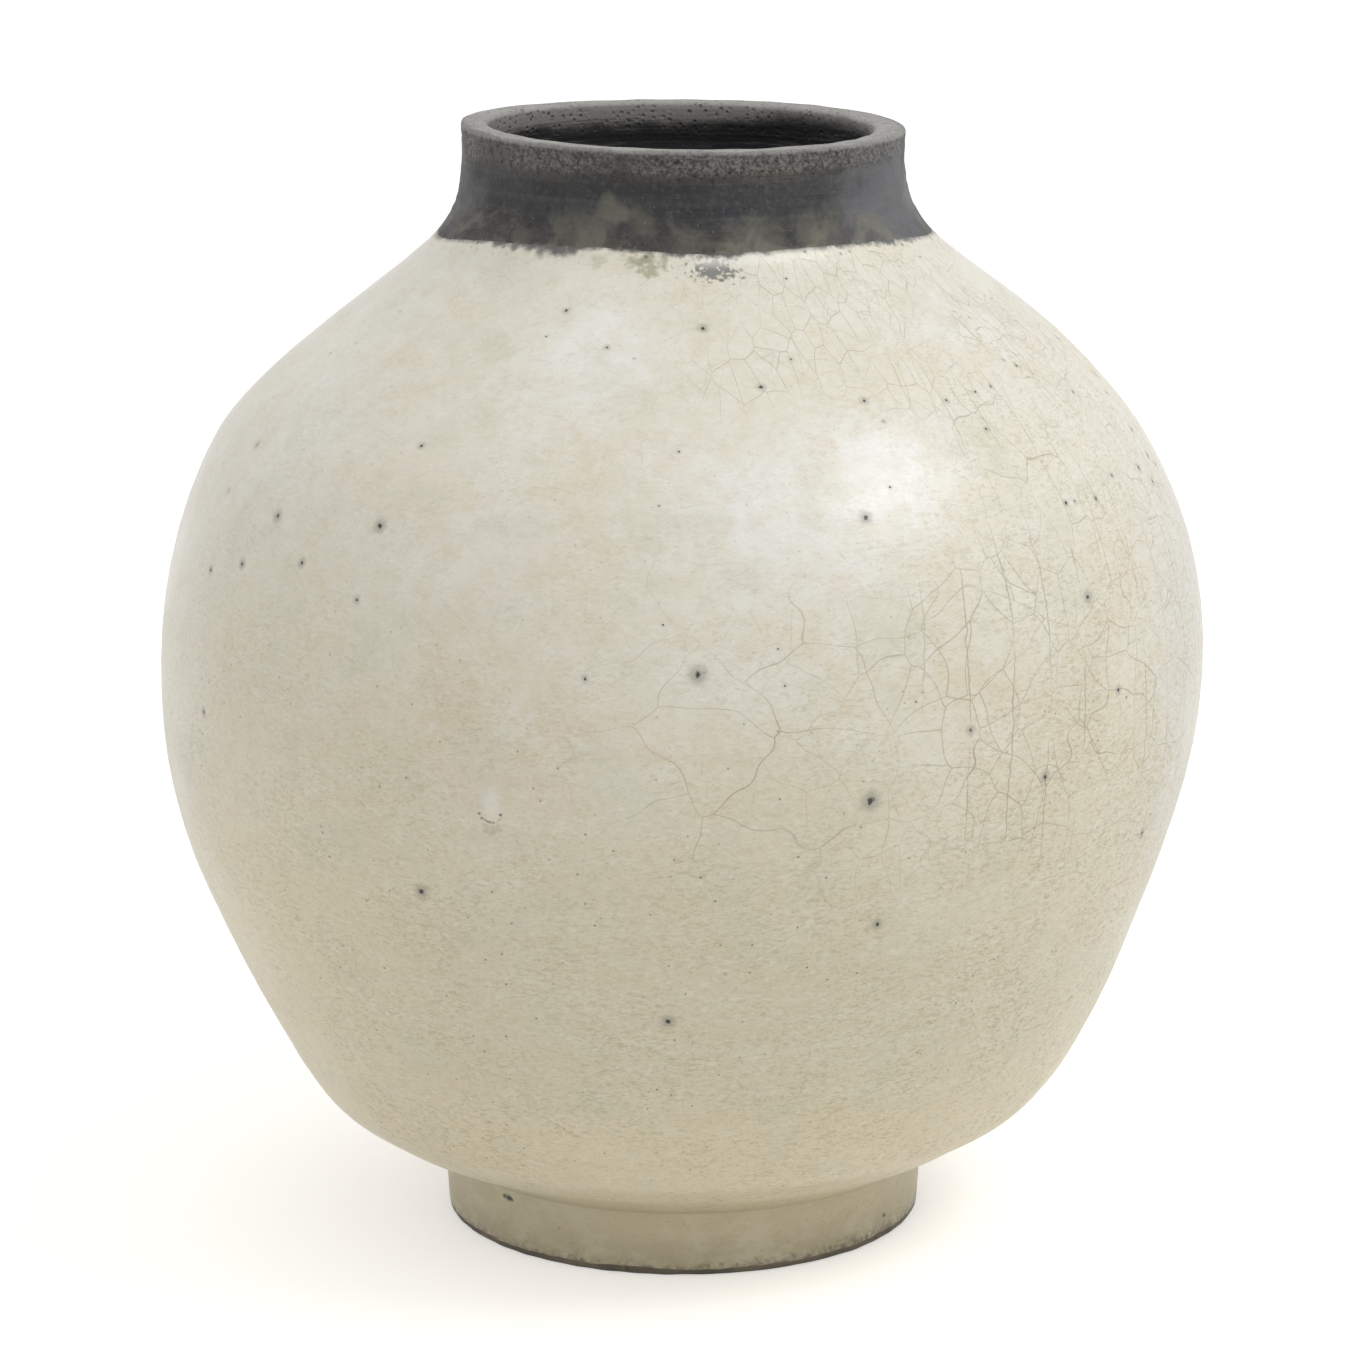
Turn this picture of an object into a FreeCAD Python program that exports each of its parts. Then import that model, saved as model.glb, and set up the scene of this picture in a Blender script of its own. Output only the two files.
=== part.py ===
# Korean moon jar: two thrown bowls joined at the waist, a dark collar with a thick lip,
# a turned foot ring and one coat of glaze. Millimetres, +Z up, the floor at z = 0.
# Every piece is turned about the jar's axis from a section of lines and arcs. The bowls,
# the collar and the glaze share one outline, and the wall follows it inside.
import FreeCAD, Part
import math
import os
from FreeCAD import Vector

os.makedirs("parts", exist_ok=True)

# Body
jar_height = 300.0          # floor to the top of the lip
belly_radius = 141.0        # clay at the widest circle
wall_thickness = 9.0        # both bowls
floor_thickness = 11.0      # clay over the foot's recess
floor_round = 22.0          # from the floor into the wall, inside

# Neck collar and lip
neck_radius = 59.0          # outside of the collar, which stands upright
neck_height = 24.0          # from the root of the collar to the top of the lip
neck_round = 28.5           # sweep from the shoulder into the collar
neck_wall = 7.0             # thinned below the lip
lip_thickness = 8.8         # the lip is a rolled, thicker band
lip_band = 4.2              # height of that band
lip_outer_bevel = 1.2       # worn edge outside
lip_inner_round = 3.0       # rolled edge inside

# Foot ring
foot_radius = 65.5          # outside, where the foot meets the bowl
foot_height = 18.5          # floor to the outer edge of its seat
foot_wall = 11.0            # at the seat
foot_outer_draft = 1.2      # how much narrower the outside is at the floor
foot_inner_draft = 1.0      # how much thicker the wall is at the floor
foot_bevel = 1.6            # turned edges beside the resting face
foot_seat_rise = 3.0        # the bevelled seat climbs this much towards the middle

# Joints: scored, wetted with slip and pressed together
slip_thickness = 0.7        # slip left between two seats
tongue_depth = 3.0          # ridge of the upper bowl in the groove of the lower bowl
tongue_share = 0.5          # share of the wall that the ridge takes
slip_fillet = 3.0           # slip wiped into the corner under the bowl
neck_seat_depth = 10.0      # the collar's seat meets its outside this far below the root
neck_seat_drop = 6.5        # fall of that seat across the wall, towards the middle

# Glaze
glaze_thickness = 0.5
glaze_neck_gap = 25.0       # bare clay from the top of the lip down to the glaze
glaze_foot_gap = 2.2        # bare clay from the floor up to the glaze
glaze_pool_round = 3.0      # glaze gathers in the crease above the foot

# One overrun for every cut that has to pass a face
overrun = 20.0

# Corners of the outline between the crease and the root of the collar. The height is a
# share of that stretch. The radius is a share of the way from the foot, or from the
# neck, out to the belly. The last number is how much of the shorter side the arc takes.
lower_corner_shares = [
    (0.061, 0.438, 0.30),
    (0.183, 0.686, 0.60),
    (0.391, 0.954, 0.40),
    (0.549, 1.017, 0.55),
]
upper_corner_shares = [
    (0.779, 0.880, 0.62),
]
waist_share = 0.533         # height of the seam between the bowls, on the same stretch

# Worked out from the sizes above
crease_height = foot_height + slip_thickness
neck_root = jar_height - neck_height
waist_height = crease_height + waist_share * (neck_root - crease_height)
recess_top = foot_height + foot_seat_rise + slip_thickness
floor_top = recess_top + floor_thickness
foot_inner = foot_radius - foot_wall
foot_bottom = foot_radius - foot_outer_draft
glaze_neck_line = jar_height - glaze_neck_gap
reach = belly_radius + overrun


def sides(points, index):
    """Unit vectors from a corner to the points before and after it, and their lengths."""
    corner = Vector(points[index][0], 0, points[index][1])
    before = Vector(points[index - 1][0], 0, points[index - 1][1]) - corner
    following = points[(index + 1) % len(points)]
    after = Vector(following[0], 0, following[1]) - corner
    lengths = (before.Length, after.Length)
    return corner, before.normalize(), after.normalize(), lengths


def turned(points):
    """A solid turned about the axis from a closed section.

    Each point is (radius, height), or (radius, height, round), where round is the
    radius of the arc that takes the corner away.
    """
    starts = []
    ends = []
    edges = []
    for index, point in enumerate(points):
        corner, before, after, lengths = sides(points, index)
        if len(point) == 2:
            starts.append(corner)
            ends.append(corner)
            continue
        half_angle = before.getAngle(after) / 2
        back = point[2] / math.tan(half_angle)
        depth = point[2] / math.sin(half_angle) - point[2]
        starts.append(corner + before * back)
        ends.append(corner + after * back)
        middle = corner + (before + after).normalize() * depth
        edges.append(Part.Arc(starts[-1], middle, ends[-1]).toShape())
    for index, end in enumerate(ends):
        edges.append(Part.LineSegment(end, starts[(index + 1) % len(starts)]).toShape())
    section = Part.Face(Part.Wire(Part.__sortEdges__(edges)))
    return section.revolve(Vector(0, 0, 0), Vector(0, 0, 1), 360)


def belly_corners():
    """Corners from the crease to the root of the collar, with the radii of their arcs."""
    stretch = neck_root - crease_height
    shaped = [(foot_radius, crease_height, 0)]
    for height_share, radius_share, round_share in lower_corner_shares:
        shaped.append((foot_radius + radius_share * (belly_radius - foot_radius),
                       crease_height + height_share * stretch, round_share))
    for height_share, radius_share, round_share in upper_corner_shares:
        shaped.append((neck_radius + radius_share * (belly_radius - neck_radius),
                       crease_height + height_share * stretch, round_share))
    shaped.append((neck_radius, neck_root, 0))
    corners = []
    for index in range(1, len(shaped) - 1):
        corner, before, after, lengths = sides(shaped, index)
        back = shaped[index][2] * min(lengths)
        arc = back * math.tan(before.getAngle(after) / 2)
        corners.append((shaped[index][0], shaped[index][1], arc))
    return corners


def moved_square(points, depth):
    """An open outline moved square to itself, to the left of its run for a positive depth.

    Arcs stay concentric: one that bulges away from the axis shrinks as it moves inwards.
    """
    moved = []
    last = len(points) - 1
    for index, point in enumerate(points):
        corner, before, after, lengths = sides(points, index)
        if index == 0:
            before = after * -1
        if index == last:
            after = before * -1
        along = (after - before).normalize()
        across = Vector(-along.z, 0, along.x)
        stretch = across.dot(Vector(-after.z, 0, after.x))
        place = corner + across * (depth / stretch)
        if len(point) == 2:
            moved.append((place.x, place.z))
            continue
        bulges = before.cross(after).y < 0
        moved.append((place.x, place.z, point[2] - depth if bulges else point[2] + depth))
    return moved


def export(name, shape):
    shape.exportStep("parts/" + name + ".step")
    print(name, "solids", len(shape.Solids), "valid", shape.isValid(),
          "volume", round(shape.Volume))


# The clay's outline, from the crease up to the root of the collar
belly = belly_corners()
collar_root = (neck_radius, neck_root, neck_round)


def clay_section():
    """Section of both bowls and the collar in one: up the outside, down the inside."""
    outside = [(foot_radius, crease_height)] + belly + [collar_root]
    inside = moved_square(outside, wall_thickness)
    first, second = inside[0], inside[1]
    climb = (floor_top - first[1]) / (second[1] - first[1])
    floor_edge = (first[0] + climb * (second[0] - first[0]), floor_top, floor_round)
    shoulder, root = inside[-2], inside[-1]
    bore = neck_radius - neck_wall
    fall = (bore - shoulder[0]) / (root[0] - shoulder[0])
    bore_root = (bore, shoulder[1] + fall * (root[1] - shoulder[1]), root[2])
    narrow = neck_radius - lip_thickness
    band_foot = jar_height - lip_band
    lip = [(neck_radius, jar_height - lip_outer_bevel),
           (neck_radius - lip_outer_bevel, jar_height),
           (narrow, jar_height, lip_inner_round),
           (narrow, band_foot), (bore, band_foot - (lip_thickness - neck_wall))]
    hollow = [bore_root] + inside[-2:0:-1] + [floor_edge, (0, floor_top)]
    return [(0, crease_height)] + outside + lip + hollow


def foot_section():
    """Section of the foot ring: a narrow flat to stand on, then the bevelled seat."""
    inner_bottom = foot_inner - foot_inner_draft
    return [(inner_bottom, foot_bevel), (inner_bottom + foot_bevel, 0),
            (foot_bottom - foot_bevel, 0), (foot_bottom, foot_bevel),
            (foot_radius, foot_height), (foot_inner, foot_height + foot_seat_rise)]


def below_foot_seat():
    """Everything under the bowl's seat, one layer of slip above the foot's."""
    fall = foot_seat_rise / foot_wall
    return turned([(0, 0), (foot_radius + overrun, 0),
                   (foot_radius + overrun, crease_height - fall * overrun),
                   (foot_inner, recess_top), (0, recess_top)])


def foot_slip_section():
    """Thin layer in the foot's seat, wiped into a fillet in the corner of the recess."""
    seat_top = foot_height + foot_seat_rise
    wall_height = seat_top - foot_bevel
    down = slip_fillet - slip_thickness
    on_wall = foot_inner - foot_inner_draft * down / wall_height
    return [(foot_inner, seat_top), (foot_radius, foot_height),
            (foot_radius, crease_height), (foot_inner, recess_top),
            (foot_inner - slip_fillet, recess_top), (on_wall, recess_top - slip_fillet)]


def below_waist_seat(gap):
    """Everything under the seat at the waist: flat, with a groove that takes a ridge."""
    middle = belly_radius - wall_thickness / 2
    half = wall_thickness * tongue_share / 2
    level = waist_height + gap
    return turned([(0, 0), (reach, 0), (reach, level), (middle + half, level),
                   (middle, level - tongue_depth), (middle - half, level), (0, level)])


def below_neck_seat(gap):
    """Everything under the collar's seat, a bevel that falls towards the middle."""
    slope = neck_seat_drop / wall_thickness
    level = neck_root - neck_seat_depth + gap
    return turned([(0, 0), (neck_radius + reach, 0),
                   (neck_radius + reach, level + slope * reach),
                   (0, level - slope * neck_radius)])


def glaze_section():
    """One coat over the foot, the crease and the belly, up to inside the bare collar."""
    top = (neck_radius, jar_height)
    clay = [(foot_bottom, 0), (foot_radius, crease_height)] + belly + [collar_root, top]
    face = moved_square(clay, -glaze_thickness)
    pool = (face[1][0], face[1][1], glaze_pool_round)
    return [face[0], pool] + face[2:] + clay[::-1]


clay = turned(clay_section())
glaze_band = Part.makeCylinder(reach, glaze_neck_line - glaze_foot_gap,
                               Vector(0, 0, glaze_foot_gap))

export("foot_ring", turned(foot_section()))
export("foot_slip", turned(foot_slip_section()))
export("lower_bowl", clay.common(below_waist_seat(0)).cut(below_foot_seat()))
export("waist_slip",
       clay.common(below_waist_seat(slip_thickness)).cut(below_waist_seat(0)))
export("upper_bowl", clay.common(below_neck_seat(0)).cut(below_waist_seat(slip_thickness)))
export("neck_slip", clay.common(below_neck_seat(slip_thickness)).cut(below_neck_seat(0)))
export("neck_collar", clay.cut(below_neck_seat(slip_thickness)))
export("outer_glaze", turned(glaze_section()).common(glaze_band))
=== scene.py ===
"""Korean moon jar: the glaze, the bare collar and the clay inside, dressed on the frame."""
import functools
import math

import bpy
import numpy as np
from bpy.props import FloatProperty, FloatVectorProperty, IntProperty, PointerProperty
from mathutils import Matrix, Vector


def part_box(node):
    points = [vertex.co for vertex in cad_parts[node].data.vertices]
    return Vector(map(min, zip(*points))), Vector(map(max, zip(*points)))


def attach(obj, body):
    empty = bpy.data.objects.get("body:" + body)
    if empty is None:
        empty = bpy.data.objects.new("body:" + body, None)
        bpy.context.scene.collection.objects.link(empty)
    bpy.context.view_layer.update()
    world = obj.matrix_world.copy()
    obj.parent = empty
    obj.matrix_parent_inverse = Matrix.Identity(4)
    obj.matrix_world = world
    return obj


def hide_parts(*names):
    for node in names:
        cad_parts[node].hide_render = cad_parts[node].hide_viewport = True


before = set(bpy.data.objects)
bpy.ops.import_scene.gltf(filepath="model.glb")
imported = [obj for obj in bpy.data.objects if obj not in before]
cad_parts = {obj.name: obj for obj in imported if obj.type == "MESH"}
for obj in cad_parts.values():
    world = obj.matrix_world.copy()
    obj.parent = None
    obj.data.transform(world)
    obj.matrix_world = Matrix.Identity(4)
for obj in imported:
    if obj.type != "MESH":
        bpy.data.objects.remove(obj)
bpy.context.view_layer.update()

bl_info = {
    "name": "Moon Jar",
    "version": (1, 0, 0),
    "blender": (4, 5, 0),
    "location": "3D View > Sidebar > Moon Jar",
    "description": "Builds a thrown, glazed moon jar with a bare dark collar",
    "category": "Add Mesh",
}

MM = 0.001
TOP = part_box("neck_collar")[1][2]
FULL_TURN = 2 * math.pi

# Finished outline of the jar, in millimetres: height, radius, and how far the circle's
# centre lies to the right. The slumped body wanders to each side as it rises.
OUTLINE = np.array([
    (0.0, 65.1, -0.1), (6.0, 65.5, -0.1), (12.0, 65.9, -0.1), (18.6, 66.3, -0.1),
    (20.3, 66.9, -0.2), (21.1, 68.6, -0.3), (22.6, 73.2, -0.5), (24.4, 78.4, -0.8),
    (26.8, 83.8, -1.2), (30.2, 89.2, -1.4), (36.0, 97.9, -0.8), (46.0, 105.9, -0.3),
    (56.0, 111.6, -0.3), (70.0, 118.6, -0.7), (88.0, 126.1, -1.5), (108.0, 133.5, -1.9),
    (130.0, 139.0, -1.4), (150.0, 141.1, -0.7), (170.0, 140.5, -0.3), (190.0, 136.8, -0.1),
    (205.0, 131.5, -0.4), (220.0, 123.5, -0.7), (232.0, 113.4, -0.1), (244.0, 100.6, 1.0),
    (254.0, 88.0, 1.2), (264.0, 74.8, 0.8), (272.0, 65.8, 0.4), (280.0, 60.9, 0.2),
    (290.0, 59.0, 0.0), (300.0, 59.1, 0.0)])

# Inside of the clay wall, in millimetres: height and radius
HOLLOW = np.array([
    (33.2, 58.0), (34.4, 74.0), (39.0, 86.0), (46.0, 93.5), (56.0, 100.6), (70.0, 108.0),
    (88.0, 115.9), (108.0, 123.5), (130.0, 129.4), (150.0, 131.4), (170.0, 130.7),
    (190.0, 126.2), (205.0, 119.7), (220.0, 110.1), (232.0, 99.4), (244.0, 85.2),
    (254.0, 72.5), (264.0, 61.0), (272.0, 55.8), (280.0, 53.0), (288.0, 52.0),
    (300.0, 52.0)])

# Section of the lip, in millimetres: height and radius, from the outside over the top
LIP_SECTION = np.array([
    (298.0, 59.1), (299.2, 59.1), (299.75, 58.95), (300.0, 58.4), (300.05, 57.0),
    (300.05, 54.2), (299.95, 52.8), (299.6, 51.9), (298.8, 51.3), (297.6, 50.95),
    (296.2, 50.75), (294.8, 50.8), (293.4, 51.1), (291.6, 51.5), (289.8, 51.85),
    (288.0, 52.0)])

# Inside of the floor, from the wall to the middle, in millimetres: radius, and rise of the
# thrower's spiral
FLOOR_SWIRL = [(52, 0.1), (46, 0.5), (41, 0.1), (36, 0.5), (31, 0.1), (26, 0.5), (21, 0.1),
               (16, 0.5), (11, 0.1), (6, 0.6), (2, 0.7)]

# Seats between the clay pieces
SLIP = 0.7 * MM
SEAT_LEVEL = 266.0 * MM
SEAT_SLOPE = 6.5 / 9.0
SEAT_RADIUS = 59.0 * MM
WAIST = 156.07 * MM
TONGUE_MIDDLE = 136.5 * MM
TONGUE_HALF = 2.25 * MM
TONGUE_DEPTH = 3.0 * MM
FOOT_TOP = 18.5 * MM
CREASE = FOOT_TOP + SLIP
FOOT_INNER = 54.5 * MM
FOOT_SEAT_RISE = 3.0 * MM
FOOT_BEVEL = 1.6 * MM
COVE = 3.0 * MM
RECESS_RINGS = (2 * MM, 30 * MM, FOOT_INNER)   # rings of points over the recess

# Inside of the foot, down the recess: how far it narrows, and height, in millimetres
RECESS = ((0.1, 19.0), (0.4, 13.0), (0.7, 8.0), (1.0, 1.6))

# Heights where the lip's section starts outside and ends inside, and where the coat of
# glaze has its rows closer together
LIP_OUTSIDE = 298.0 * MM
LIP_INSIDE = 288.0 * MM
CREASE_ROWS = 26 * MM
EDGE_ROWS = 262 * MM

# Stretches over which the relief, the lip's slant and the spiral inside come and go
BODY_START = (24 * MM, 60 * MM)
BODY_END = (240 * MM, 270 * MM)
NECK_START = (272 * MM, 278 * MM)
NECK_END = (297 * MM, 299 * MM)
LIP_SLANT = (276 * MM, 296 * MM)
SPIRAL_START = (36 * MM, 60 * MM)
SPIRAL_END = (262 * MM, 272 * MM)
MOUTH_SHIFT = (262 * MM, 290 * MM)

RING_PITCH = 9.0 * MM       # throwing rings outside
RING_DEPTH = 0.03 * MM
SPIRAL_PITCH = 8.0 * MM     # finger spiral inside
SPIRAL_DEPTH = 0.35 * MM
FINGER_DEPTH = 0.08 * MM    # lines on the collar
CRUMBLE = 0.14 * MM         # uneven top of the lip
TUCK = 0.02 * MM            # clay lies this far under the glaze, so the two never cross
BEAD_DEPTH = 0.12 * MM      # roll of glaze under its upper edge
WAVE_SPREAD = 1.6           # brings a sum of cosines within about -1 to 1
SHARP_EDGE = math.radians(50)


def smooth_through(knots, values, at):
    """Cubic Hermite curve through (knot, value) rows, read at the places in at.

    Each knot's slope is the mean of the slopes of the chords on its two sides.
    """
    chords = np.diff(values, axis=0) / np.diff(knots)[:, None]
    slopes = np.vstack([chords[:1], (chords[1:] + chords[:-1]) / 2, chords[-1:]])
    span = np.clip(np.searchsorted(knots, at) - 1, 0, len(knots) - 2)
    width = (knots[span + 1] - knots[span])[:, None]
    part = (at - knots[span])[:, None] / width
    square, cube = part ** 2, part ** 3
    return (values[span] * (2 * cube - 3 * square + 1)
            + slopes[span] * width * (cube - 2 * square + part)
            + values[span + 1] * (3 * square - 2 * cube)
            + slopes[span + 1] * width * (cube - square))


def chord_lengths(points):
    """Distance along a row of points, from its first."""
    steps = np.hypot(*np.diff(points[:, :2], axis=0).T)
    return np.concatenate([[0.0], np.cumsum(steps)])


def dense_profile(stations, samples=4000):
    """Stations made into a fine table in metres: height, radius, lean, normal, length."""
    knots = chord_lengths(stations)
    table = smooth_through(knots, stations, np.linspace(0, knots[-1], samples)) * MM
    along = np.gradient(table[:, :2], axis=0)
    along /= np.hypot(along[:, 0], along[:, 1])[:, None]
    lean = table[:, 2] if table.shape[1] > 2 else np.zeros(samples)
    return {"height": table[:, 0], "radius": table[:, 1], "lean": lean,
            "out": along[:, 0], "up": -along[:, 1], "length": chord_lengths(table)}


PROFILE = dense_profile(OUTLINE)
INSIDE = dense_profile(HOLLOW)


def read(profile, name, height):
    """A value of a profile at each height."""
    return np.interp(height, profile["height"], profile[name])


def rows_between(profile, low, high, count, crowd_low=0.0, crowd_high=0.0):
    """Heights of rows evenly spaced along the profile, crowded towards either end.

    The even share is bent by a power of itself at each end, more for a larger value.
    """
    share = np.linspace(0, 1, count)
    share = share ** (1 + crowd_low)
    share = 1 - (1 - share) ** (1 + crowd_high)
    start, end = (read(profile, "length", height) for height in (low, high))
    return np.interp(start + share * (end - start), profile["length"], profile["height"])


def waves(angle, height, around, along, count, seed):
    """Sum of cosines of whole turns round the jar and slow waves up it, from -1 to 1.

    Each has up to around turns, up to along waves a metre and a phase of its own.
    """
    draw = np.random.default_rng(seed)
    total = np.zeros(np.broadcast(angle, height).shape)
    for _ in range(count):
        turns = draw.integers(-around, around + 1)
        rise = draw.uniform(-along, along) * FULL_TURN
        phase = draw.uniform(0, FULL_TURN)
        total += np.cos(turns * angle + rise * height + phase)
    return total / math.sqrt(count) / WAVE_SPREAD


def ripple(angle, around, count, seed):
    """Waves round the jar alone."""
    return waves(angle, 0 * angle, around, 0, count, seed)


def fade(value, start, end):
    """Smooth step from 0 at start to 1 at end."""
    part = np.clip((value - start) / (end - start), 0, 1)
    return part * part * (3 - 2 * part)


def sizes():
    """The sizes that a user may change, as the scene holds them."""
    return bpy.context.scene.moon_jar_sizes


def relief(angle, height):
    """How far the finished surface stands off its outline: slow lumps, finger lines."""
    lumps = sizes().lump_height * waves(angle, height, 3, 12, 9, 3)
    dents = 0.2 * sizes().lump_height * waves(angle, height, 7, 25, 16, 5)
    drift = 1.8 * waves(angle, height, 2, 6, 5, 8)
    rings = RING_DEPTH * np.cos(height / RING_PITCH * FULL_TURN + angle + drift)
    body = fade(height, *BODY_START) * (1 - fade(height, *BODY_END))
    fingers = FINGER_DEPTH * waves(angle, height, 2, 420, 14, 9)
    neck = fade(height, *NECK_START) * (1 - fade(height, *NECK_END))
    return (lumps + dents + rings) * (0.15 + 0.85 * body) + fingers * neck


def glaze_edge(angle):
    """Height where the glaze stops under the collar, round the jar.

    It hangs lower at both sides, and stands a little higher at the front.
    """
    sides = -2.8 * MM * np.cos(angle) ** 8 - 0.8 * MM * np.sin(angle) ** 3
    ragged = 0.7 * MM * ripple(angle, 9, 8, 21) + 0.10 * MM * ripple(angle, 70, 40, 22)
    return sizes().glaze_line + sides + ragged


def foot_edge(angle):
    """Height where the glaze stops above the floor, round the jar."""
    ragged = 0.5 * MM * ripple(angle, 9, 8, 31) + 0.25 * MM * ripple(angle, 80, 24, 32)
    return sizes().foot_line + ragged


def glaze_depth(angle, height):
    """Thickness of the glaze, which thins to nothing at both edges."""
    upper = fade(glaze_edge(angle) - height, 0, 4 * MM)
    lower = fade(height - foot_edge(angle), 0, 2.5 * MM)
    return sizes().glaze_depth * upper * lower


def edge_bead(angle, height):
    """A faint roll of glaze: a bell curve 1.6 mm below its upper edge."""
    below = (glaze_edge(angle) - height) / MM
    return BEAD_DEPTH * np.exp(-((below - 1.6) / 0.9) ** 2)


def lip_lift(angle, height):
    """The lip isn't level: it rises at the left and dips at the right, most so in front."""
    slant = -1.0 * MM * np.cos(angle) * (0.65 - 0.35 * np.sin(angle))
    corner = 0.7 * MM * np.clip(-np.cos(angle), 0, 1) ** 4
    lift = slant + 0.15 * MM * ripple(angle, 6, 6, 41) + corner
    return lift * fade(height, *LIP_SLANT)


def place(angle, height, radius, lean):
    """Points at a radius about the leaning axis, with the lip's unevenness."""
    parts = (lean + radius * np.cos(angle), radius * np.sin(angle),
             height + lip_lift(angle, height))
    shape = np.broadcast(angle, height, radius, lean).shape
    return np.stack([np.broadcast_to(part, shape) for part in parts], axis=-1)


def on_outline(angle, height, lift):
    """Points of the outline, moved by lift along its normal."""
    radius = read(PROFILE, "radius", height) + lift * read(PROFILE, "out", height)
    level = height + lift * read(PROFILE, "up", height)
    return place(angle, level, radius, read(PROFILE, "lean", height))


def in_hollow(angle, height):
    """Points of the inside wall, with the spiral left by the potter's fingers."""
    turn = height / SPIRAL_PITCH * FULL_TURN + angle + waves(angle, height, 2, 8, 5, 51)
    calm = fade(height, *SPIRAL_START) * (1 - fade(height, *SPIRAL_END))
    radius = read(INSIDE, "radius", height) + SPIRAL_DEPTH * np.cos(turn) * calm
    shift = sizes().lip_shift * fade(height, *MOUTH_SHIFT)
    return place(angle, height, radius, read(PROFILE, "lean", height) * calm - shift)


def clay_face(angle, height):
    """Outside of the clay: the finished surface, less the glaze over it."""
    under = glaze_depth(angle, height)
    return on_outline(angle, height, relief(angle, height) - under - np.where(under > 0, TUCK, 0))


def outside_rows(angle, low, high, count):
    """Rows up the outside of the clay."""
    return clay_face(angle, rows_between(PROFILE, low, high, count)[None, :])


def inside_rows(angle, low, high, count):
    """Rows down the inside of the clay."""
    return in_hollow(angle, rows_between(INSIDE, low, high, count)[None, ::-1])


def ring(angle, radius, height):
    """One ring of points."""
    return place(angle, np.full(angle.shape, height), radius,
                 float(read(PROFILE, "lean", height)))


def straight(start, end, count):
    """Rows between two rings of points, without the rings themselves."""
    share = np.linspace(0, 1, count + 2)[1:-1, None]
    return start[:, None] + (end - start)[:, None] * share


def joined(*parts):
    """Rows of points and single rings put together as one section."""
    return np.concatenate(parts, axis=1)


def seat_height(profile, gap):
    """Height where a profile crosses the collar's sloping seat, raised by gap."""
    over = profile["height"] - SEAT_LEVEL - gap - SEAT_SLOPE * (profile["radius"] - SEAT_RADIUS)
    upper = profile["height"] > WAIST
    return np.interp(0, over[upper], profile["height"][upper])


def waist_rings(angle, gap):
    """The seat at the waist, from outside to inside: flat, with a groove for the ridge."""
    level = WAIST + gap
    return joined(ring(angle, TONGUE_MIDDLE + TONGUE_HALF, level),
                  ring(angle, TONGUE_MIDDLE, level - TONGUE_DEPTH),
                  ring(angle, TONGUE_MIDDLE - TONGUE_HALF, level))


def collar_rows(angle):
    """Points of the collar: up the outside, over the lip, down the inside."""
    outside = outside_rows(angle, seat_height(PROFILE, SLIP), LIP_OUTSIDE, 66)
    lip = dense_profile(LIP_SECTION, 400)
    pick = np.linspace(0, lip["length"][-1], 48)[None, 1:]
    radius, level = (np.interp(pick, lip["length"], lip[name]) for name in ("radius", "height"))
    inward = fade(-radius, -59 * MM, -50 * MM)
    uneven = CRUMBLE * waves(angle, pick, 30, 150, 30, 61)
    over = place(angle, level + uneven, radius, -sizes().lip_shift * inward)
    inside = inside_rows(angle, seat_height(INSIDE, SLIP), LIP_INSIDE, 22)
    return joined(outside, over, inside, straight(inside[:, -1], outside[:, 0], 5))


def upper_bowl_rows(angle):
    """The upper bowl, up the outside from the waist, over its seat and down the inside."""
    outside = outside_rows(angle, WAIST + SLIP, seat_height(PROFILE, 0), 90)
    inside = inside_rows(angle, WAIST + SLIP, seat_height(INSIDE, 0), 90)
    seat = straight(outside[:, -1], inside[:, 0], 4)
    return joined(outside, seat, inside, waist_rings(angle, SLIP)[:, ::-1])


def lower_bowl_rows(angle):
    """The lower bowl, from the middle of the recess round the outside to the floor."""
    under = joined(*(ring(angle, radius, CREASE + FOOT_SEAT_RISE)
                     for radius in RECESS_RINGS))
    floor_top = INSIDE["height"][0]
    swirl = joined(*(ring(angle, radius * MM, floor_top + lift * MM)
                     for radius, lift in FLOOR_SWIRL))
    return joined(under, outside_rows(angle, CREASE, WAIST, 70), waist_rings(angle, 0),
                  inside_rows(angle, HOLLOW[0, 0] * MM, WAIST, 80), swirl)


def waist_slip_rows(angle):
    """The slip in the waist seat."""
    levels = np.array([[WAIST, WAIST + SLIP]])
    return joined(clay_face(angle, levels), waist_rings(angle, SLIP),
                  in_hollow(angle, levels[:, ::-1]), waist_rings(angle, 0)[:, ::-1])


def neck_slip_rows(angle):
    """The slip under the collar."""
    outer = clay_face(angle, np.array([[seat_height(PROFILE, 0), seat_height(PROFILE, SLIP)]]))
    inner = in_hollow(angle, np.array([[seat_height(INSIDE, SLIP), seat_height(INSIDE, 0)]]))
    return joined(outer, straight(outer[:, 1], inner[:, 0], 4), inner,
                  straight(inner[:, 1], outer[:, 0], 4))


def foot_slip_rows(angle):
    """The slip on the foot's seat, wiped into a cove, a quarter circle, in the recess."""
    outer = clay_face(angle, np.array([[FOOT_TOP, CREASE]]))
    cove = joined(*(ring(angle, FOOT_INNER - COVE + COVE * math.sin(turn),
                         CREASE + FOOT_SEAT_RISE - COVE + COVE * math.cos(turn))
                    for turn in np.linspace(0, math.pi / 2, 7)))
    return joined(outer, ring(angle, FOOT_INNER, CREASE + FOOT_SEAT_RISE), cove,
                  ring(angle, FOOT_INNER, FOOT_TOP + FOOT_SEAT_RISE))


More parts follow.
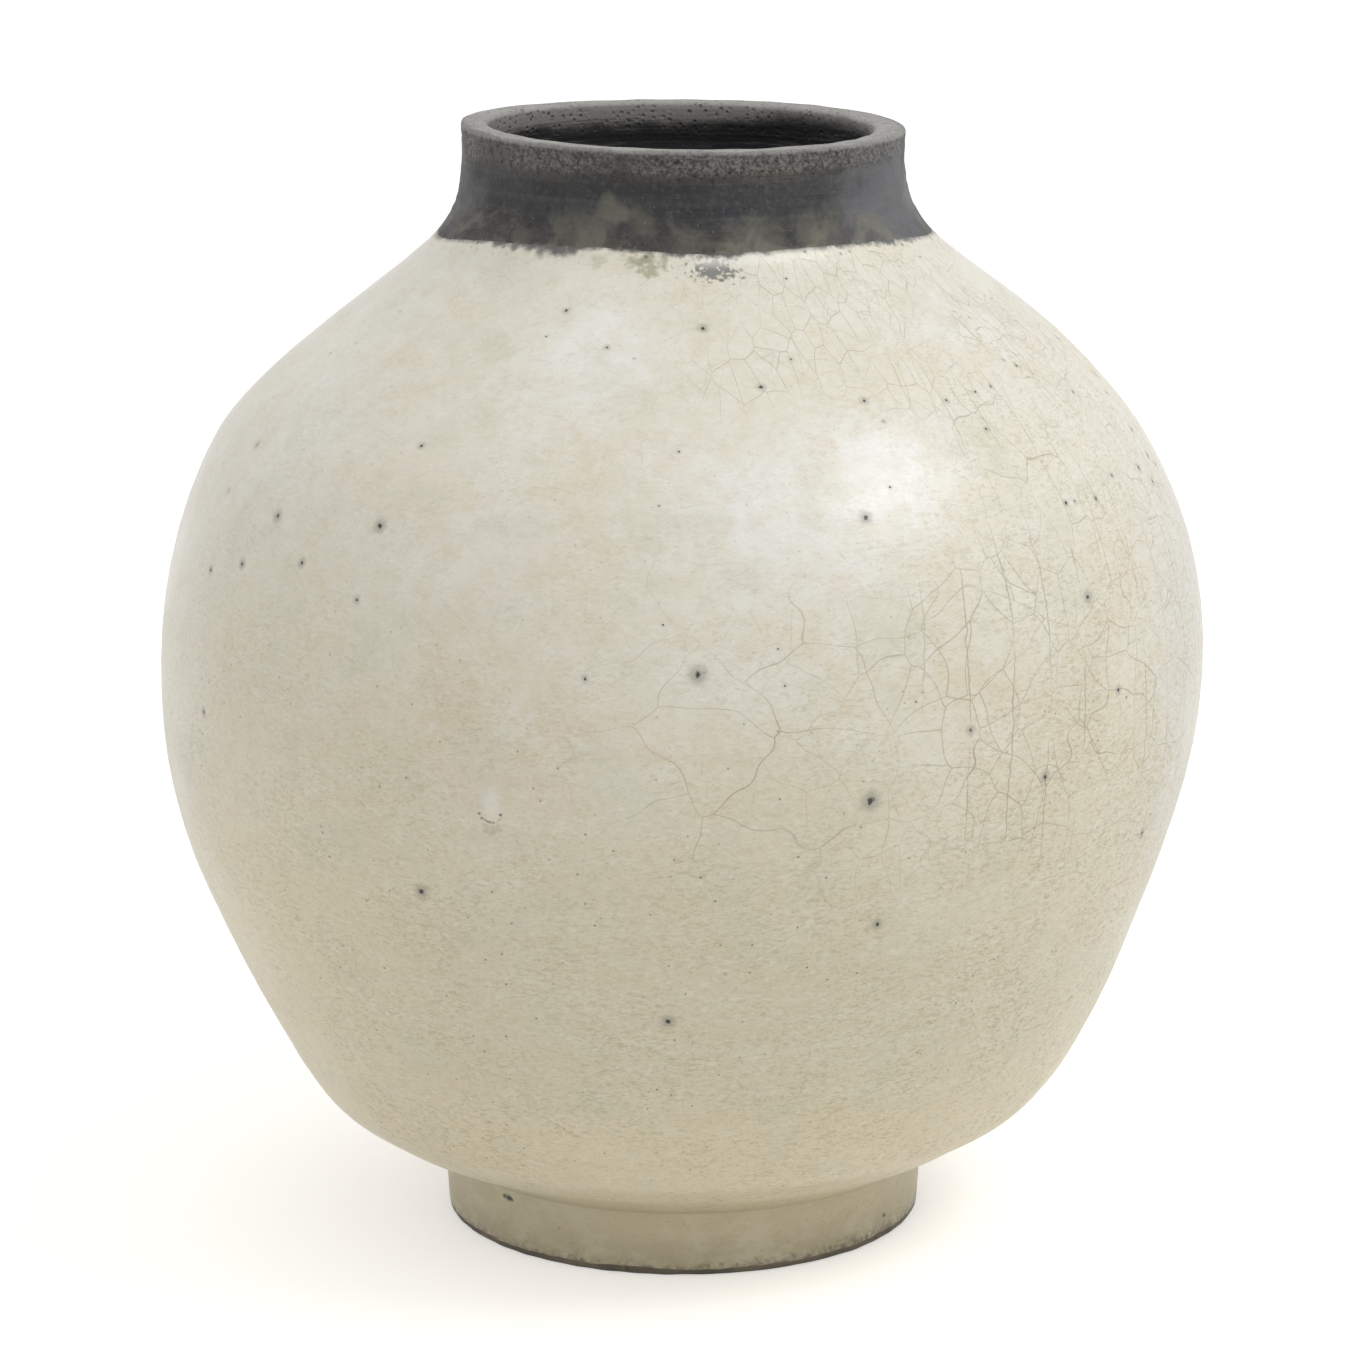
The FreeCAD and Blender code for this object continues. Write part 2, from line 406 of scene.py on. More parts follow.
def foot_ring_rows(angle):
    """The foot: up the outside, over its sloping seat, down the recess and under."""
    outside = clay_face(angle, np.linspace(FOOT_BEVEL, FOOT_TOP, 24)[None, :])
    seat = ring(angle, FOOT_INNER, FOOT_TOP + FOOT_SEAT_RISE)
    recess = joined(*(ring(angle, FOOT_INNER - share * MM, level * MM)
                      for share, level in RECESS))
    worn = 0.25 * MM * ripple(angle, 50, 24, 71)
    edge = read(PROFILE, "radius", 0.0)
    resting = ((FOOT_INNER - 0.6 * MM, 0.5 * MM, 0.3), (FOOT_INNER + 0.6 * MM, 0.0, 0.3),
               (edge - 1.3 * MM, 0.0, 1.0), (edge - 0.5 * MM, 0.2 * MM, 1.0),
               (edge - 0.1 * MM, 0.7 * MM, 0.6))
    under = joined(*(ring(angle, radius + worn * share, level)
                     for radius, level, share in resting))
    return joined(outside, seat, recess, under)


def glaze_rows(angle):
    """The coat: up the outside from the foot to the collar, and back down against the clay."""
    foot_line, glaze_line = sizes().foot_line, sizes().glaze_line
    rows = np.concatenate([rows_between(PROFILE, foot_line, CREASE_ROWS, 26, 0.6),
                           rows_between(PROFILE, CREASE_ROWS, EDGE_ROWS, 128)[1:],
                           rows_between(PROFILE, EDGE_ROWS, glaze_line, 26, 0.0, 0.8)[1:]])
    top_share = fade(rows, EDGE_ROWS, glaze_line)
    low_share = 1 - fade(rows, foot_line, 8 * MM)
    heights = (rows + top_share * (glaze_edge(angle) - glaze_line)
               + low_share * (foot_edge(angle) - foot_line))
    outside = on_outline(angle, heights, relief(angle, heights) + edge_bead(angle, heights))
    behind = heights[:, np.linspace(0, heights.shape[1] - 1, 24).astype(int)[::-1]]
    inside = on_outline(angle, behind, relief(angle, behind) - glaze_depth(angle, behind))
    return joined(outside, inside[:, 1:-1])


def add_object(name, data):
    """A new object in the scene, at the origin."""
    made = bpy.data.objects.new(name, data)
    bpy.context.scene.collection.objects.link(made)
    return made


def new_object(name, points, faces):
    """A mesh object at the origin from points and corner indices, shaded smooth."""
    mesh = bpy.data.meshes.new(name)
    mesh.from_pydata(points.tolist(), [], faces)
    mesh.polygons.foreach_set("use_smooth", np.ones(len(mesh.polygons), bool))
    mesh.set_sharp_from_angle(angle=SHARP_EDGE)
    mesh.update()
    return add_object(name, mesh)


def ring_piece(name, points, poles=False):
    """A closed surface from points[angle, row]: round the jar, and round its section.

    Row j of one angle joins row j of the next, and the last angle joins the first. The
    last row joins the first too, or with poles both ends close in a single point.
    """
    turns, rows = points.shape[:2]
    index = np.arange(turns * rows).reshape(turns, rows)
    beside = np.roll(index, -1, axis=0)
    above, beside_above = (np.roll(corner, -1, axis=1) for corner in (index, beside))
    corners = np.stack([index, beside, beside_above, above], axis=-1)
    if not poles:
        return new_object(name, points.reshape(-1, 3), corners.reshape(-1, 4).tolist())
    low, high = np.full(turns, index.size), np.full(turns, index.size + 1)
    fans = np.stack([[low, beside[:, 0], index[:, 0]], [high, index[:, -1], beside[:, -1]]])
    fans = fans.swapaxes(1, 2).reshape(-1, 3).tolist()
    vertices = np.vstack([points.reshape(-1, 3), points[:, [0, -1]].mean(axis=0)])
    return new_object(name, vertices, corners[:, :-1].reshape(-1, 4).tolist() + fans)


def make_piece(name, rows, columns, material, node, poles=False):
    """Builds one piece from its rows and sets it in the frame in place of its node."""
    angle = np.linspace(0, FULL_TURN, columns, endpoint=False)[:, None]
    piece = ring_piece(name, rows(angle), poles)
    piece.data.materials.append(material)
    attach(piece, "root")
    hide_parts(node)
    return piece


# Pinholes in the glaze, where the photograph shows them: pixels across and down, and size
PINHOLES_IN_VIEW = [
    (421, 445, 0.8), (256, 444, 0.9), (228, 490, 0.7), (277, 516, 1.2), (380, 526, 1.2),
    (302, 563, 0.9), (242, 564, 1.0), (211, 570, 0.9), (357, 600, 0.8), (204, 712, 0.9),
    (585, 679, 0.7), (698, 675, 1.6), (566, 310, 0.8), (546, 336, 0.5), (607, 347, 0.7),
    (634, 358, 0.4), (356, 343, 0.4), (330, 353, 0.5), (395, 412, 0.4), (273, 397, 0.5),
    (679, 452, 0.5), (659, 506, 0.4), (663, 625, 0.4), (349, 313, 0.4), (400, 312, 0.4),
    (703, 329, 1.0), (761, 387, 0.9), (791, 359, 0.5), (786, 279, 0.5), (920, 257, 0.5),
    (864, 401, 0.9), (883, 422, 0.6), (969, 318, 0.5), (1003, 361, 0.6), (1016, 366, 0.7),
    (990, 387, 0.7), (975, 392, 0.6), (946, 401, 0.7), (986, 429, 0.7), (1010, 431, 0.8),
    (1073, 392, 0.6), (1058, 338, 0.8), (1088, 359, 0.8), (1096, 374, 0.8), (1107, 392, 0.8),
    (1132, 429, 0.9), (1112, 475, 0.7), (1139, 467, 1.0), (1148, 455, 0.9), (1156, 464, 0.9),
    (1153, 481, 0.9), (1171, 506, 0.9), (1066, 503, 0.8), (1075, 501, 0.6), (1096, 499, 0.8),
    (865, 518, 1.2), (890, 487, 0.5), (1087, 597, 1.2), (1010, 641, 0.4), (1118, 690, 0.9),
    (1126, 697, 0.5), (970, 730, 0.9), (785, 686, 0.5), (778, 649, 0.4), (768, 636, 0.4),
    (916, 702, 0.4), (1045, 777, 1.0), (871, 801, 1.7), (1142, 833, 1.1), (877, 924, 1.1),
    (668, 1021, 1.3), (421, 892, 1.3), (393, 1136, 0.5), (509, 1198, 1.0), (625, 1207, 0.7),
    (884, 1215, 0.7)]
FAR_PINHOLES = 60
PINHOLE_LAYERS = 3
PINHOLE_ZONE = 7 * MM
PINHOLE_SPACE = 2.2 * PINHOLE_ZONE
ORIGIN = (0.0, 0.0, 0.0)
NOWHERE = (0.0, 0.0, -50.0)
UNROLLED_RADIUS = 0.120     # mean radius of the unrolled surface that the crackle is on

# The camera, fitted to the lip, the belly and the foot
CAMERA_PLACE = (0.00045, -1.312, 0.457)
CAMERA_PITCH = 0.2322
CAMERA_LENS = 129.73
SENSOR = 36.0
PHOTO_SIDE = 1370
RAY_WALK = np.arange(1.10, 1.46, 0.0005)    # places tried along a ray


def seen_at(across, down):
    """Where the rays through pixels of the photograph first meet the jar's outline.

    Each ray is walked in half-millimetre steps. The ray's height over the surface is its
    distance from the leaning axis less the outline's radius, and the first point where
    that isn't above zero is the hit. A ray that passes the jar by takes its nearest point.
    """
    focal = CAMERA_LENS / SENSOR * PHOTO_SIDE
    side = (np.asarray(across, float) - PHOTO_SIDE / 2) / focal
    rise = (PHOTO_SIDE / 2 - np.asarray(down, float)) / focal
    cos, sin = math.cos(CAMERA_PITCH), math.sin(CAMERA_PITCH)
    ray = np.stack([side, cos + rise * sin, rise * cos - sin], axis=-1)
    points = np.array(CAMERA_PLACE) + ray[:, None] * RAY_WALK[:, None]
    x, y, z = np.moveaxis(points, -1, 0)
    over = np.hypot(x - read(PROFILE, "lean", z), y) - read(PROFILE, "radius", z)
    inside = (over <= 0) & (z > 0) & (z < TOP)
    first = np.where(inside.any(axis=1), inside.argmax(axis=1), np.abs(over).argmin(axis=1))
    return points[np.arange(len(points)), first]


def spot(across, down):
    """The place on the jar that one pixel of the photograph shows."""
    return seen_at([across], [down])[0]


def all_pinholes():
    """Places and sizes of the pinholes: those in view, and seeded ones on the far side."""
    across, down, size = np.array(PINHOLES_IN_VIEW).T
    draw = np.random.default_rng(77)
    angle = draw.uniform(0.06, 0.94, FAR_PINHOLES) * math.pi
    height = draw.uniform(45, 265, FAR_PINHOLES) * MM
    reach = read(PROFILE, "radius", height)
    far = np.stack([read(PROFILE, "lean", height) + reach * np.cos(angle),
                    reach * np.sin(angle), height], axis=-1)
    far_size = draw.uniform(0.4, 1.4, FAR_PINHOLES)
    return np.vstack([seen_at(across, down), far]), np.concatenate([size, far_size])


def spread_in_layers(places):
    """Layer of each pinhole, so that no two in one layer are near each other."""
    layers = np.zeros(len(places), int)
    for index, centre in enumerate(places):
        near = np.linalg.norm(places[:index] - centre, axis=1) < PINHOLE_SPACE
        taken = set(layers[:index][near])
        free = [layer for layer in range(PINHOLE_LAYERS) if layer not in taken]
        layers[index] = free[0] if free else -1
    return layers


def points_of(piece):
    """The piece's points as an array."""
    points = np.empty(len(piece.data.vertices) * 3, np.float32)
    piece.data.vertices.foreach_get("co", points)
    return points.reshape(-1, 3)


def mark(piece, name, values):
    """Stores a value or a vector for each point of a piece."""
    kind, field = ("FLOAT_VECTOR", "vector") if values.ndim > 1 else ("FLOAT", "value")
    attribute = piece.data.attributes.new(name, kind, "POINT")
    attribute.data.foreach_set(field, values.astype(np.float32).ravel())


def mark_edge(piece):
    """Gives each point its height below the glaze's upper edge, in millimetres."""
    x, y, z = points_of(piece).T
    mark(piece, "below_edge", (glaze_edge(np.arctan2(y, x)) - z) / MM)


def mark_unrolled(piece):
    """Gives each point its place on the unrolled jar: turn times a mean radius, and height
    measured along the outline. The unrolling is cut down the back, where no crackle runs.
    """
    x, y, z = points_of(piece).T
    turn = np.mod(np.arctan2(y, x) - math.pi / 2, FULL_TURN)
    along = read(PROFILE, "length", z)
    mark(piece, "unrolled", np.stack([turn * UNROLLED_RADIUS, along, 0 * turn], axis=-1))


def mark_pinholes(piece):
    """Gives each point of the glaze the place and size of the pinhole that it belongs to."""
    points = points_of(piece)
    places, widths = all_pinholes()
    layers = spread_in_layers(places)
    for layer in range(PINHOLE_LAYERS):
        nearest = np.tile(NOWHERE, (len(points), 1))
        size = np.zeros(len(points))
        for centre, width in zip(places[layers == layer], widths[layers == layer]):
            near = np.linalg.norm(points - centre, axis=1) < PINHOLE_ZONE
            nearest[near] = centre
            size[near] = width
        mark(piece, f"pinhole_{layer}", nearest)
        mark(piece, f"pinhole_size_{layer}", size)


def feed(socket, value):
    """Links a signal to a socket, or sets the socket to a constant."""
    if isinstance(value, Signal):
        socket.id_data.links.new(value.socket, socket)
    else:
        socket.default_value = value


def add_node(tree, kind, feeds=(), **settings):
    """A shader node with its settings made and its inputs fed."""
    made = tree.nodes.new("ShaderNode" + kind)
    for name, value in settings.items():
        setattr(made, name, value)
    for socket, value in dict(feeds).items():
        feed(made.inputs[socket], value)
    return made


class Signal:
    """A value, vector or colour in a node tree. Arithmetic with it adds math nodes."""

    def __init__(self, socket):
        self.socket = socket
        self.tree = socket.id_data

    def node(self, kind, feeds, output=0, **settings):
        """One output of a new node in the same tree."""
        return Signal(add_node(self.tree, kind, feeds, **settings).outputs[output])

    def math(self, operation, *values):
        return self.node("Math", dict(enumerate((self, *values))), operation=operation)

    def vector(self, operation, *values, output=0):
        feeds = dict(enumerate((self, *values)))
        return self.node("VectorMath", feeds, output, operation=operation)

    def __add__(self, other):
        return self.math("ADD", other)

    def __sub__(self, other):
        return self.math("SUBTRACT", other)

    def __rsub__(self, other):
        return self * -1.0 + other

    def __mul__(self, other):
        return self.math("MULTIPLY", other)

    def __truediv__(self, other):
        return self.math("DIVIDE", other)

    def __abs__(self):
        return self.math("ABSOLUTE")

    def step(self, low, high, out_low=0.0, out_high=1.0):
        """Smooth step between two ends."""
        feeds = {"Value": self, "From Min": low, "From Max": high,
                 "To Min": out_low, "To Max": out_high}
        return self.node("MapRange", feeds, interpolation_type="SMOOTHSTEP")

    def stretched(self, *scale):
        """Place scaled by its own amount on each axis."""
        return self.node("Mapping", {"Vector": self, "Scale": scale})

    def noise(self, scale, detail=3.0, rough=0.5, warp=0.0):
        feeds = {"Vector": self, "Scale": scale, "Detail": detail,
                 "Roughness": rough, "Distortion": warp}
        return self.node("TexNoise", feeds)

    def wander(self, *settings):
        """Noise about zero."""
        return self.noise(*settings) - 0.5

    def parts(self):
        """The three parts of a vector or colour."""
        return [Signal(part) for part in add_node(self.tree, "SeparateXYZ", {0: self}).outputs]

    def attribute(self, name, output="Fac"):
        """One of the piece's own attributes."""
        return self.node("Attribute", (), output, attribute_name=name)

    def effect(self, name, **feeds):
        """What a node group puts out for this place."""
        return self.node("Group", {"Place": self, **feeds}, node_tree=bpy.data.node_groups[name])

    def patch(self, across, down, **feeds):
        """Soft mask round the place that a pixel of the photograph shows."""
        return self.effect("Soft Patch", Centre=tuple(spot(across, down)), **feeds)


def largest(first, *others):
    """The largest of some signals or values, of which the first is a signal."""
    return functools.reduce(lambda one, other: one.math("MAXIMUM", other), others, first)


def new_group(name, output, **inputs):
    """An empty node group: the socket of its one output, then its inputs as signals."""
    tree = bpy.data.node_groups.new(name, "ShaderNodeTree")
    for label, value in {"Place": ORIGIN, **inputs}.items():
        kind = "NodeSocketVector" if isinstance(value, tuple) else "NodeSocketFloat"
        tree.interface.new_socket(label, in_out="INPUT", socket_type=kind).default_value = value
    tree.interface.new_socket(output, in_out="OUTPUT", socket_type="NodeSocketFloat")
    entry = tree.nodes.new("NodeGroupInput").outputs
    leave = tree.nodes.new("NodeGroupOutput").inputs[0]
    return leave, *(Signal(entry[label]) for label in ("Place", *inputs))


def group_soft_patch():
    """Mask that is 1 near a centre and fades out to 0, its edge wavering with noise."""
    mask, at, centre, squash, reach, waver, grain, inner = new_group(
        "Soft Patch", "Mask", Centre=ORIGIN, Squash=(1.0, 1.0, 1.0), Reach=0.03, Waver=0.5,
        Grain=70.0, Inner=0.25)
    offset = at.vector("SUBTRACT", centre).vector("MULTIPLY", squash)
    share = offset.vector("LENGTH", output=1) / reach
    feed(mask, (share + at.wander(grain, 4) * waver).step(1.0, inner))


def group_grog():
    """Pits and grains of coarse clay: small cells, of which a drawn share is marked."""
    mask, at, scale, share, size = new_group("Grog", "Mask", Scale=500.0, Share=0.2, Size=0.35)
    cells = add_node(at.tree, "TexVoronoi", {"Vector": at, "Scale": scale}).outputs
    chosen = Signal(cells["Color"]).parts()[0].math("LESS_THAN", share)
    feed(mask, chosen * Signal(cells["Distance"]).step(size, 0.0))


def group_throwing_lines():
    """Uneven horizontal lines: noise stretched round the jar."""
    out, at, lines, along = new_group("Throwing Lines", "Lines", Lines=500.0, Along=12.0)
    scale = at.node("CombineXYZ", {0: along, 1: along, 2: lines})
    feed(out, at.vector("MULTIPLY", scale).noise(1.0, 4, 0.6))


def group_veins():
    """Fine vein-like grain: thin bands where a noise passes its middle value."""
    mask, at, scale, width = new_group("Veins", "Mask", Scale=600.0, Width=0.05)
    feed(mask, abs(at.wander(scale, 2, 0.6, 0.6)).step(width, 0.0))


def group_crackle():
    """Fine cracks along the edges of warped cells, drawn on the unrolled surface."""
    crack, at, scale, width, bend = new_group("Crackle", "Crack", Scale=75.0, Width=0.012,
                                              Bend=0.01)
    shift = at.node("TexNoise", {"Vector": at, "Scale": 30.0, "Detail": 2.0}, "Color")
    shift = shift.vector("SUBTRACT", (0.5, 0.5, 0.5)).vector("MULTIPLY", bend)
    feeds = {"Vector": at.vector("ADD", shift), "Scale": scale}
    edge = at.node("TexVoronoi", feeds, "Distance", feature="DISTANCE_TO_EDGE",
                   voronoi_dimensions="2D")
    feed(crack, edge.step(width, 0.0))


def group_long_cracks():
    """Long, wandering cracks up the unrolled surface, at uneven spacings."""
    crack, at, spacing, bend, width = new_group("Long Cracks", "Crack", Spacing=0.01, Bend=0.02,
                                                Width=0.0002)
    sweep = at.stretched(1.0, 0.4, 1.0).wander(22, 2, 0.4) * bend
    moved = at.parts()[0] + sweep + at.wander(240, 3) * 0.0016
    turn = (moved / spacing).math("FRACT")
    feed(crack, (abs(turn - 0.5) * spacing).step(width, 0.0))


def colour(red, green, blue):
    """A linear colour from the 0 to 255 values of a screen colour."""
    values = np.array([red, green, blue]) / 255
    linear = np.where(values > 0.04045, ((values + 0.055) / 1.055) ** 2.4, values / 12.92)
    return (*(float(v) for v in linear), 1.0)


class Paint:
    """A material under way: its shader, its places, and a base colour laid tone by tone."""

    def __init__(self, name, tones, first):
        self.material = bpy.data.materials.new(name)
        self.material.use_nodes = True
        tree = self.material.node_tree
        self.inputs = tree.nodes["Principled BSDF"].inputs
        self.at = Signal(add_node(tree, "TexCoord").outputs["Object"])
        self.side, self.depth, self.height = self.at.parts()
        self.tones = tones
        self.base = tuple(getattr(tones, first))

    def over(self, tone, share):
        """Lays a tone over the base colour, by a share from 0 to 1."""
        feeds = {0: share, 6: self.base, 7: tuple(getattr(self.tones, tone))}
        self.base = self.at.node("Mix", feeds, 2, data_type="RGBA")

    def patches(self, tone, places, grain=70.0, amount=1.0, waver=1.4):
        """Lays a tone over places that the photograph shows."""
        for across, down, reach, strength in places:
            mask = self.at.patch(across, down, Reach=reach, Waver=waver, Grain=grain,
                                 Squash=(1.0, 1.0, 1.3))
            self.over(tone, mask * (strength * amount))

    def finish(self, *bumps, **values):
        """Feeds the shader: base colour, other inputs, and bumps stacked in order.

        Each bump is a height, a distance and a strength.
        """
        feed(self.inputs["Base Color"], self.base)
        for name, value in values.items():
            feed(self.inputs[name.replace("_", " ")], value)
        feeds = {}
        for height, distance, strength in bumps:
            feeds.update(Height=height, Distance=distance, Strength=strength)
            feeds["Normal"] = self.at.node("Bump", feeds)
        if bumps:
            feed(self.inputs["Normal"], feeds["Normal"])
        return self.material


# Places that the photograph shows: pixels across and down, reach in metres, and strength.
# Paler, cooler pools of glaze, and painted highlights: the key glint at 885, 480 with its halo to
# the left and below, and the glints at 590, 350 and 520, 722
COOL_POOLS_AND_HIGHLIGHTS = [
    (590, 350, 0.026, 0.75), (560, 410, 0.020, 0.35), (520, 722, 0.009, 0.45),
    (765, 508, 0.024, 0.60), (700, 480, 0.030, 0.40), (885, 480, 0.032, 0.85),
    (820, 560, 0.030, 0.40), (740, 690, 0.022, 0.35), (300, 420, 0.030, 0.30),
    (960, 330, 0.030, 0.30), (480, 540, 0.030, 0.25)]

# Warm, beige and faintly pink stains; the two at 490, 660 and 500, 760 are painted shade at the
# middle left
WARM_STAINS_AND_SHADE = [
    (430, 490, 0.022, 0.55), (490, 660, 0.034, 0.45), (500, 760, 0.040, 0.60),
    (1110, 560, 0.034, 0.45), (560, 560, 0.026, 0.40), (300, 640, 0.030, 0.25),
    (620, 470, 0.020, 0.35), (1090, 700, 0.030, 0.35), (360, 480, 0.016, 0.35)]

# Where the crackle is calm, under the brightest glint
CALM_GLAZE = (840, 490)

# The drip, low on the left: its bead, the bead's foot and the painted shade under that, and
# the dark dots beside it
DRIP = (491, 805)
DRIP_FOOT = (491, 807)
DRIP_UNDERSHADE = (491, 810)
DRIP_DOTS = [(480, 813, 0.0007, 0.9), (482, 818, 0.0007, 0.6), (501, 815, 0.0008, 0.9)]

# Under the glaze's upper edge: olive stains, a bare blue-grey patch and dark smears
OLIVE_STAINS = [(492, 827, 0.0026, 0.35), (650, 266, 0.0050, 0.75), (636, 262, 0.0040, 0.55),
                (598, 262, 0.0030, 0.3)]
BLUE_STAIN = (712, 271)
DARK_SMEARS = [
    (548, 247, 0.0046, 0.95), (562, 250, 0.0040, 0.95), (574, 247, 0.0032, 0.9),
    (530, 247, 0.0028, 0.85), (514, 246, 0.0024, 0.85), (498, 243, 0.0022, 0.8),
    (484, 240, 0.0022, 0.8)]

# Chips and specks on the foot
FOOT_CHIPS = [
    (509, 1198, 0.0015, 1.0), (506, 1196, 0.0013, 1.0), (512, 1199, 0.0013, 1.0),
    (625, 1207, 0.0008, 0.7), (884, 1215, 0.0011, 0.8), (560, 1228, 0.0008, 0.5),
    (842, 1246, 0.0012, 0.5)]

# On the collar: olive patches, painted sheen at both sides, and clusters of pits without a
# strength
COLLAR_OLIVE = [
    (612, 212, 0.0070, 0.50), (640, 222, 0.0060, 0.30), (575, 236, 0.0060, 0.25),
    (750, 238, 0.0110, 0.35), (815, 228, 0.0090, 0.30), (690, 243, 0.0070, 0.25),
    (520, 236, 0.0050, 0.25)]
COLLAR_SHEEN = [(890, 200, 0.0340, 0.72), (897, 150, 0.0140, 0.45), (470, 190, 0.0120, 0.25)]
PIT_CLUSTERS = [(630, 158, 0.012), (670, 160, 0.012), (820, 152, 0.010), (500, 148, 0.008)]

# Zones of the glaze in metres: where each begins and where it is full, by height
LOW_BODY = (0.235, 0.090)
LOWER_HALF = (0.165, 0.090)
LOWEST_BODY = (0.085, 0.028)
OVER_LOWEST = (0.050, 0.120)
SPECKLED = (0.205, 0.135)
SMALL_CRACKLE = (0.226, 0.246)
BELLY_CRACKLE = (0.112, 0.140)
WIDE_CRACKLE = (0.215, 0.165)
FOOT = (0.0222, 0.0178)
WORN_FOOT = (0.0150, 0.0030)
SMOKED_FOOT = (0.0118, 0.0078)   # of a height that noise has raised by about 8 mm
FOOT_CORNER = (0.0065, 0.0015)

# The same from left to right, with the jar's axis at zero
LEFT_HALF = (-0.045, -0.115)
LEFT_RIM = (-0.114, -0.136)
RIGHT_RIM = (0.112, 0.137)
RIGHT_GRAIN = (0.020, 0.130)
RIGHT_OF_MIDDLE = (-0.020, 0.020)
RIGHT_CELLS = (0.000, 0.080)
RIGHT_WIDE = (-0.050, 0.020)
RIGHT_CRACKS = (0.046, 0.068)
RIGHT_FOOT = (0.018, 0.050)
PALE_EDGE_START = (0.000, 0.006)
PALE_EDGE_END = (0.036, 0.026)

# Zones of the collar, by height: the upper and lower brown bands, the coarse band under
# the lip, the crumbling skin, the rubbed top, the wiped root and the painted shade on the wall
# inside
UPPER_BROWN = (0.2900, 0.2945)
LOWER_BROWN = (0.2840, 0.2770)
COARSE_BAND = (0.2895, 0.2945)
CRUST = (0.2925, 0.2950)
RUBBED_TOP = (0.2994, 0.3004)
WIPED_ROOT = (0.289, 0.278)
SHADED_INNER_WALL = (0.2987, 0.2947)

# Zones of the collar by distance from the jar's axis
LIP_FACE = (0.0570, 0.0585)
LIP_TOP = (0.0500, 0.0585)
INNER_WALL = (0.0545, 0.0530)
LIP_FALL = 0.0125           # fall of the lip from left to right, as a slope


def paint_glaze_body(paint, low, lines):
    """The glaze's drift from cream to khaki, its stains, pools, streaks and ash, with painted
    shade, highlights and rim reflections.
    """
    at, side, height = paint.at, paint.side, paint.height
    drift = at.wander(14, 3, 0.5, 0.4) * 1.1
    paint.over("khaki", (low + drift).step(0.0, 1.0))
    paint.over("stain", at.noise(38, 4, 0.6, 0.6).step(0.42, 0.68, 0.0, 0.20))
    # Stains, and painted shade at the middle left
    paint.patches("blush", WARM_STAINS_AND_SHADE, 45.0, 0.6)
    # Pools of glaze, and painted highlights where the lamps glint
    paint.patches("pool", COOL_POOLS_AND_HIGHLIGHTS)

    # Streaks left by the wiping hand, and a soft mottle
    paint.over("pool", lines.step(0.35, 0.75, 0.0, 0.16))
    paint.over("stain", at.noise(160, 4, 0.6).step(0.35, 0.75, 0.0, 0.30))

    # Warmer above the foot and low on the left; painted reflection, paler, at the left rim, and
    # painted shade, greyer, at the right rim
    paint.over("sand", height.step(*LOWEST_BODY, 0.0, 0.72))
    paint.over("sand", side.step(*LEFT_HALF, 0.0, 0.60) * height.step(*LOWER_HALF))
    above = height.step(*OVER_LOWEST)
    paint.over("pool", side.step(*LEFT_RIM, 0.0, 0.34) * above)
    paint.over("side", side.step(*RIGHT_RIM, 0.0, 0.66) * above)

    # Green and pink drift of the ash
    tide = at.stretched(1.0, 1.0, 1.4).noise(48, 4, 0.6, 0.5)
    paint.over("green", tide.step(0.50, 0.34, 0.0, 0.30))
    paint.over("blush", tide.step(0.52, 0.70, 0.0, 0.32))


def paint_glaze_grain(paint, low):
    """Short level wrinkles, strongest low down and on the right, and specks."""
    at = paint.at
    field = (low + paint.side.step(*RIGHT_GRAIN)) * 0.34 + 0.17
    field = field * at.noise(55, 3).step(0.35, 0.6, 0.5, 1.0)
    flat = at.stretched(0.6, 0.6, 1.4)
    wrinkle = flat.noise(820, 3, 0.62, 0.9)
    paint.over("vein", flat.effect("Veins", Scale=420.0, Width=0.035) * field * 0.65)
    paint.over("vein", wrinkle.step(0.5, 0.66) * field)
    paint.over("pool", wrinkle.step(0.46, 0.32, 0.0, 0.30))
    specks = at.effect("Grog", Scale=260.0, Share=0.9, Size=0.13)
    gathered = at.noise(30, 2).step(0.34, 0.54, 0.2, 1.0)
    paint.over("pit", specks * gathered * paint.height.step(*SPECKLED, 0.30, 1.0) * 0.9)
    return wrinkle


def back_gap(paint):
    """Mask that is 1 along the cut of the unrolled surface, down the back."""
    return paint.depth.step(0.0, 0.02) * abs(paint.side).step(0.022, 0.012)


def glaze_crackle(paint):
    """Small polygons under the collar, long cracks and wider cells on the right."""
    at, side, height = paint.at, paint.side, paint.height
    flat = at.attribute("unrolled", "Vector")
    belly = height.step(*BELLY_CRACKLE)
    small = flat.stretched(1.25, 0.8, 1.0).effect("Crackle", Scale=118.0, Width=0.024, Bend=0.012)
    small = small * height.step(*SMALL_CRACKLE) * side.step(*RIGHT_OF_MIDDLE, 0.0, 0.85)
    cells = flat.stretched(1.2, 0.75, 1.0).effect("Crackle", Scale=82.0, Width=0.018, Bend=0.022)
    cells = cells * belly * side.step(*RIGHT_CELLS, 0.15, 0.85)
    wide = flat.effect("Crackle", Scale=46.0, Width=0.010, Bend=0.030)
    wide = wide * belly * side.step(*RIGHT_WIDE) * height.step(*WIDE_CRACKLE, 0.35, 1.0)
    upright = flat.effect("Long Cracks", Spacing=0.0115, Bend=0.018, Width=0.00026)
    upright = upright * side.step(*RIGHT_CRACKS) * belly * at.noise(26, 2).step(0.38, 0.48)
    fading = at.noise(42, 3).step(0.36, 0.54, 0.3, 1.0)
    calm = at.patch(*CALM_GLAZE, Reach=0.044, Waver=0.5, Inner=0.55, Squash=(0.85, 1.0, 1.3))
    crackle = largest(small, cells, wide, upright) * fading * calm.step(0.0, 1.0, 1.0, 0.15)
    return crackle * (1.0 - back_gap(paint))


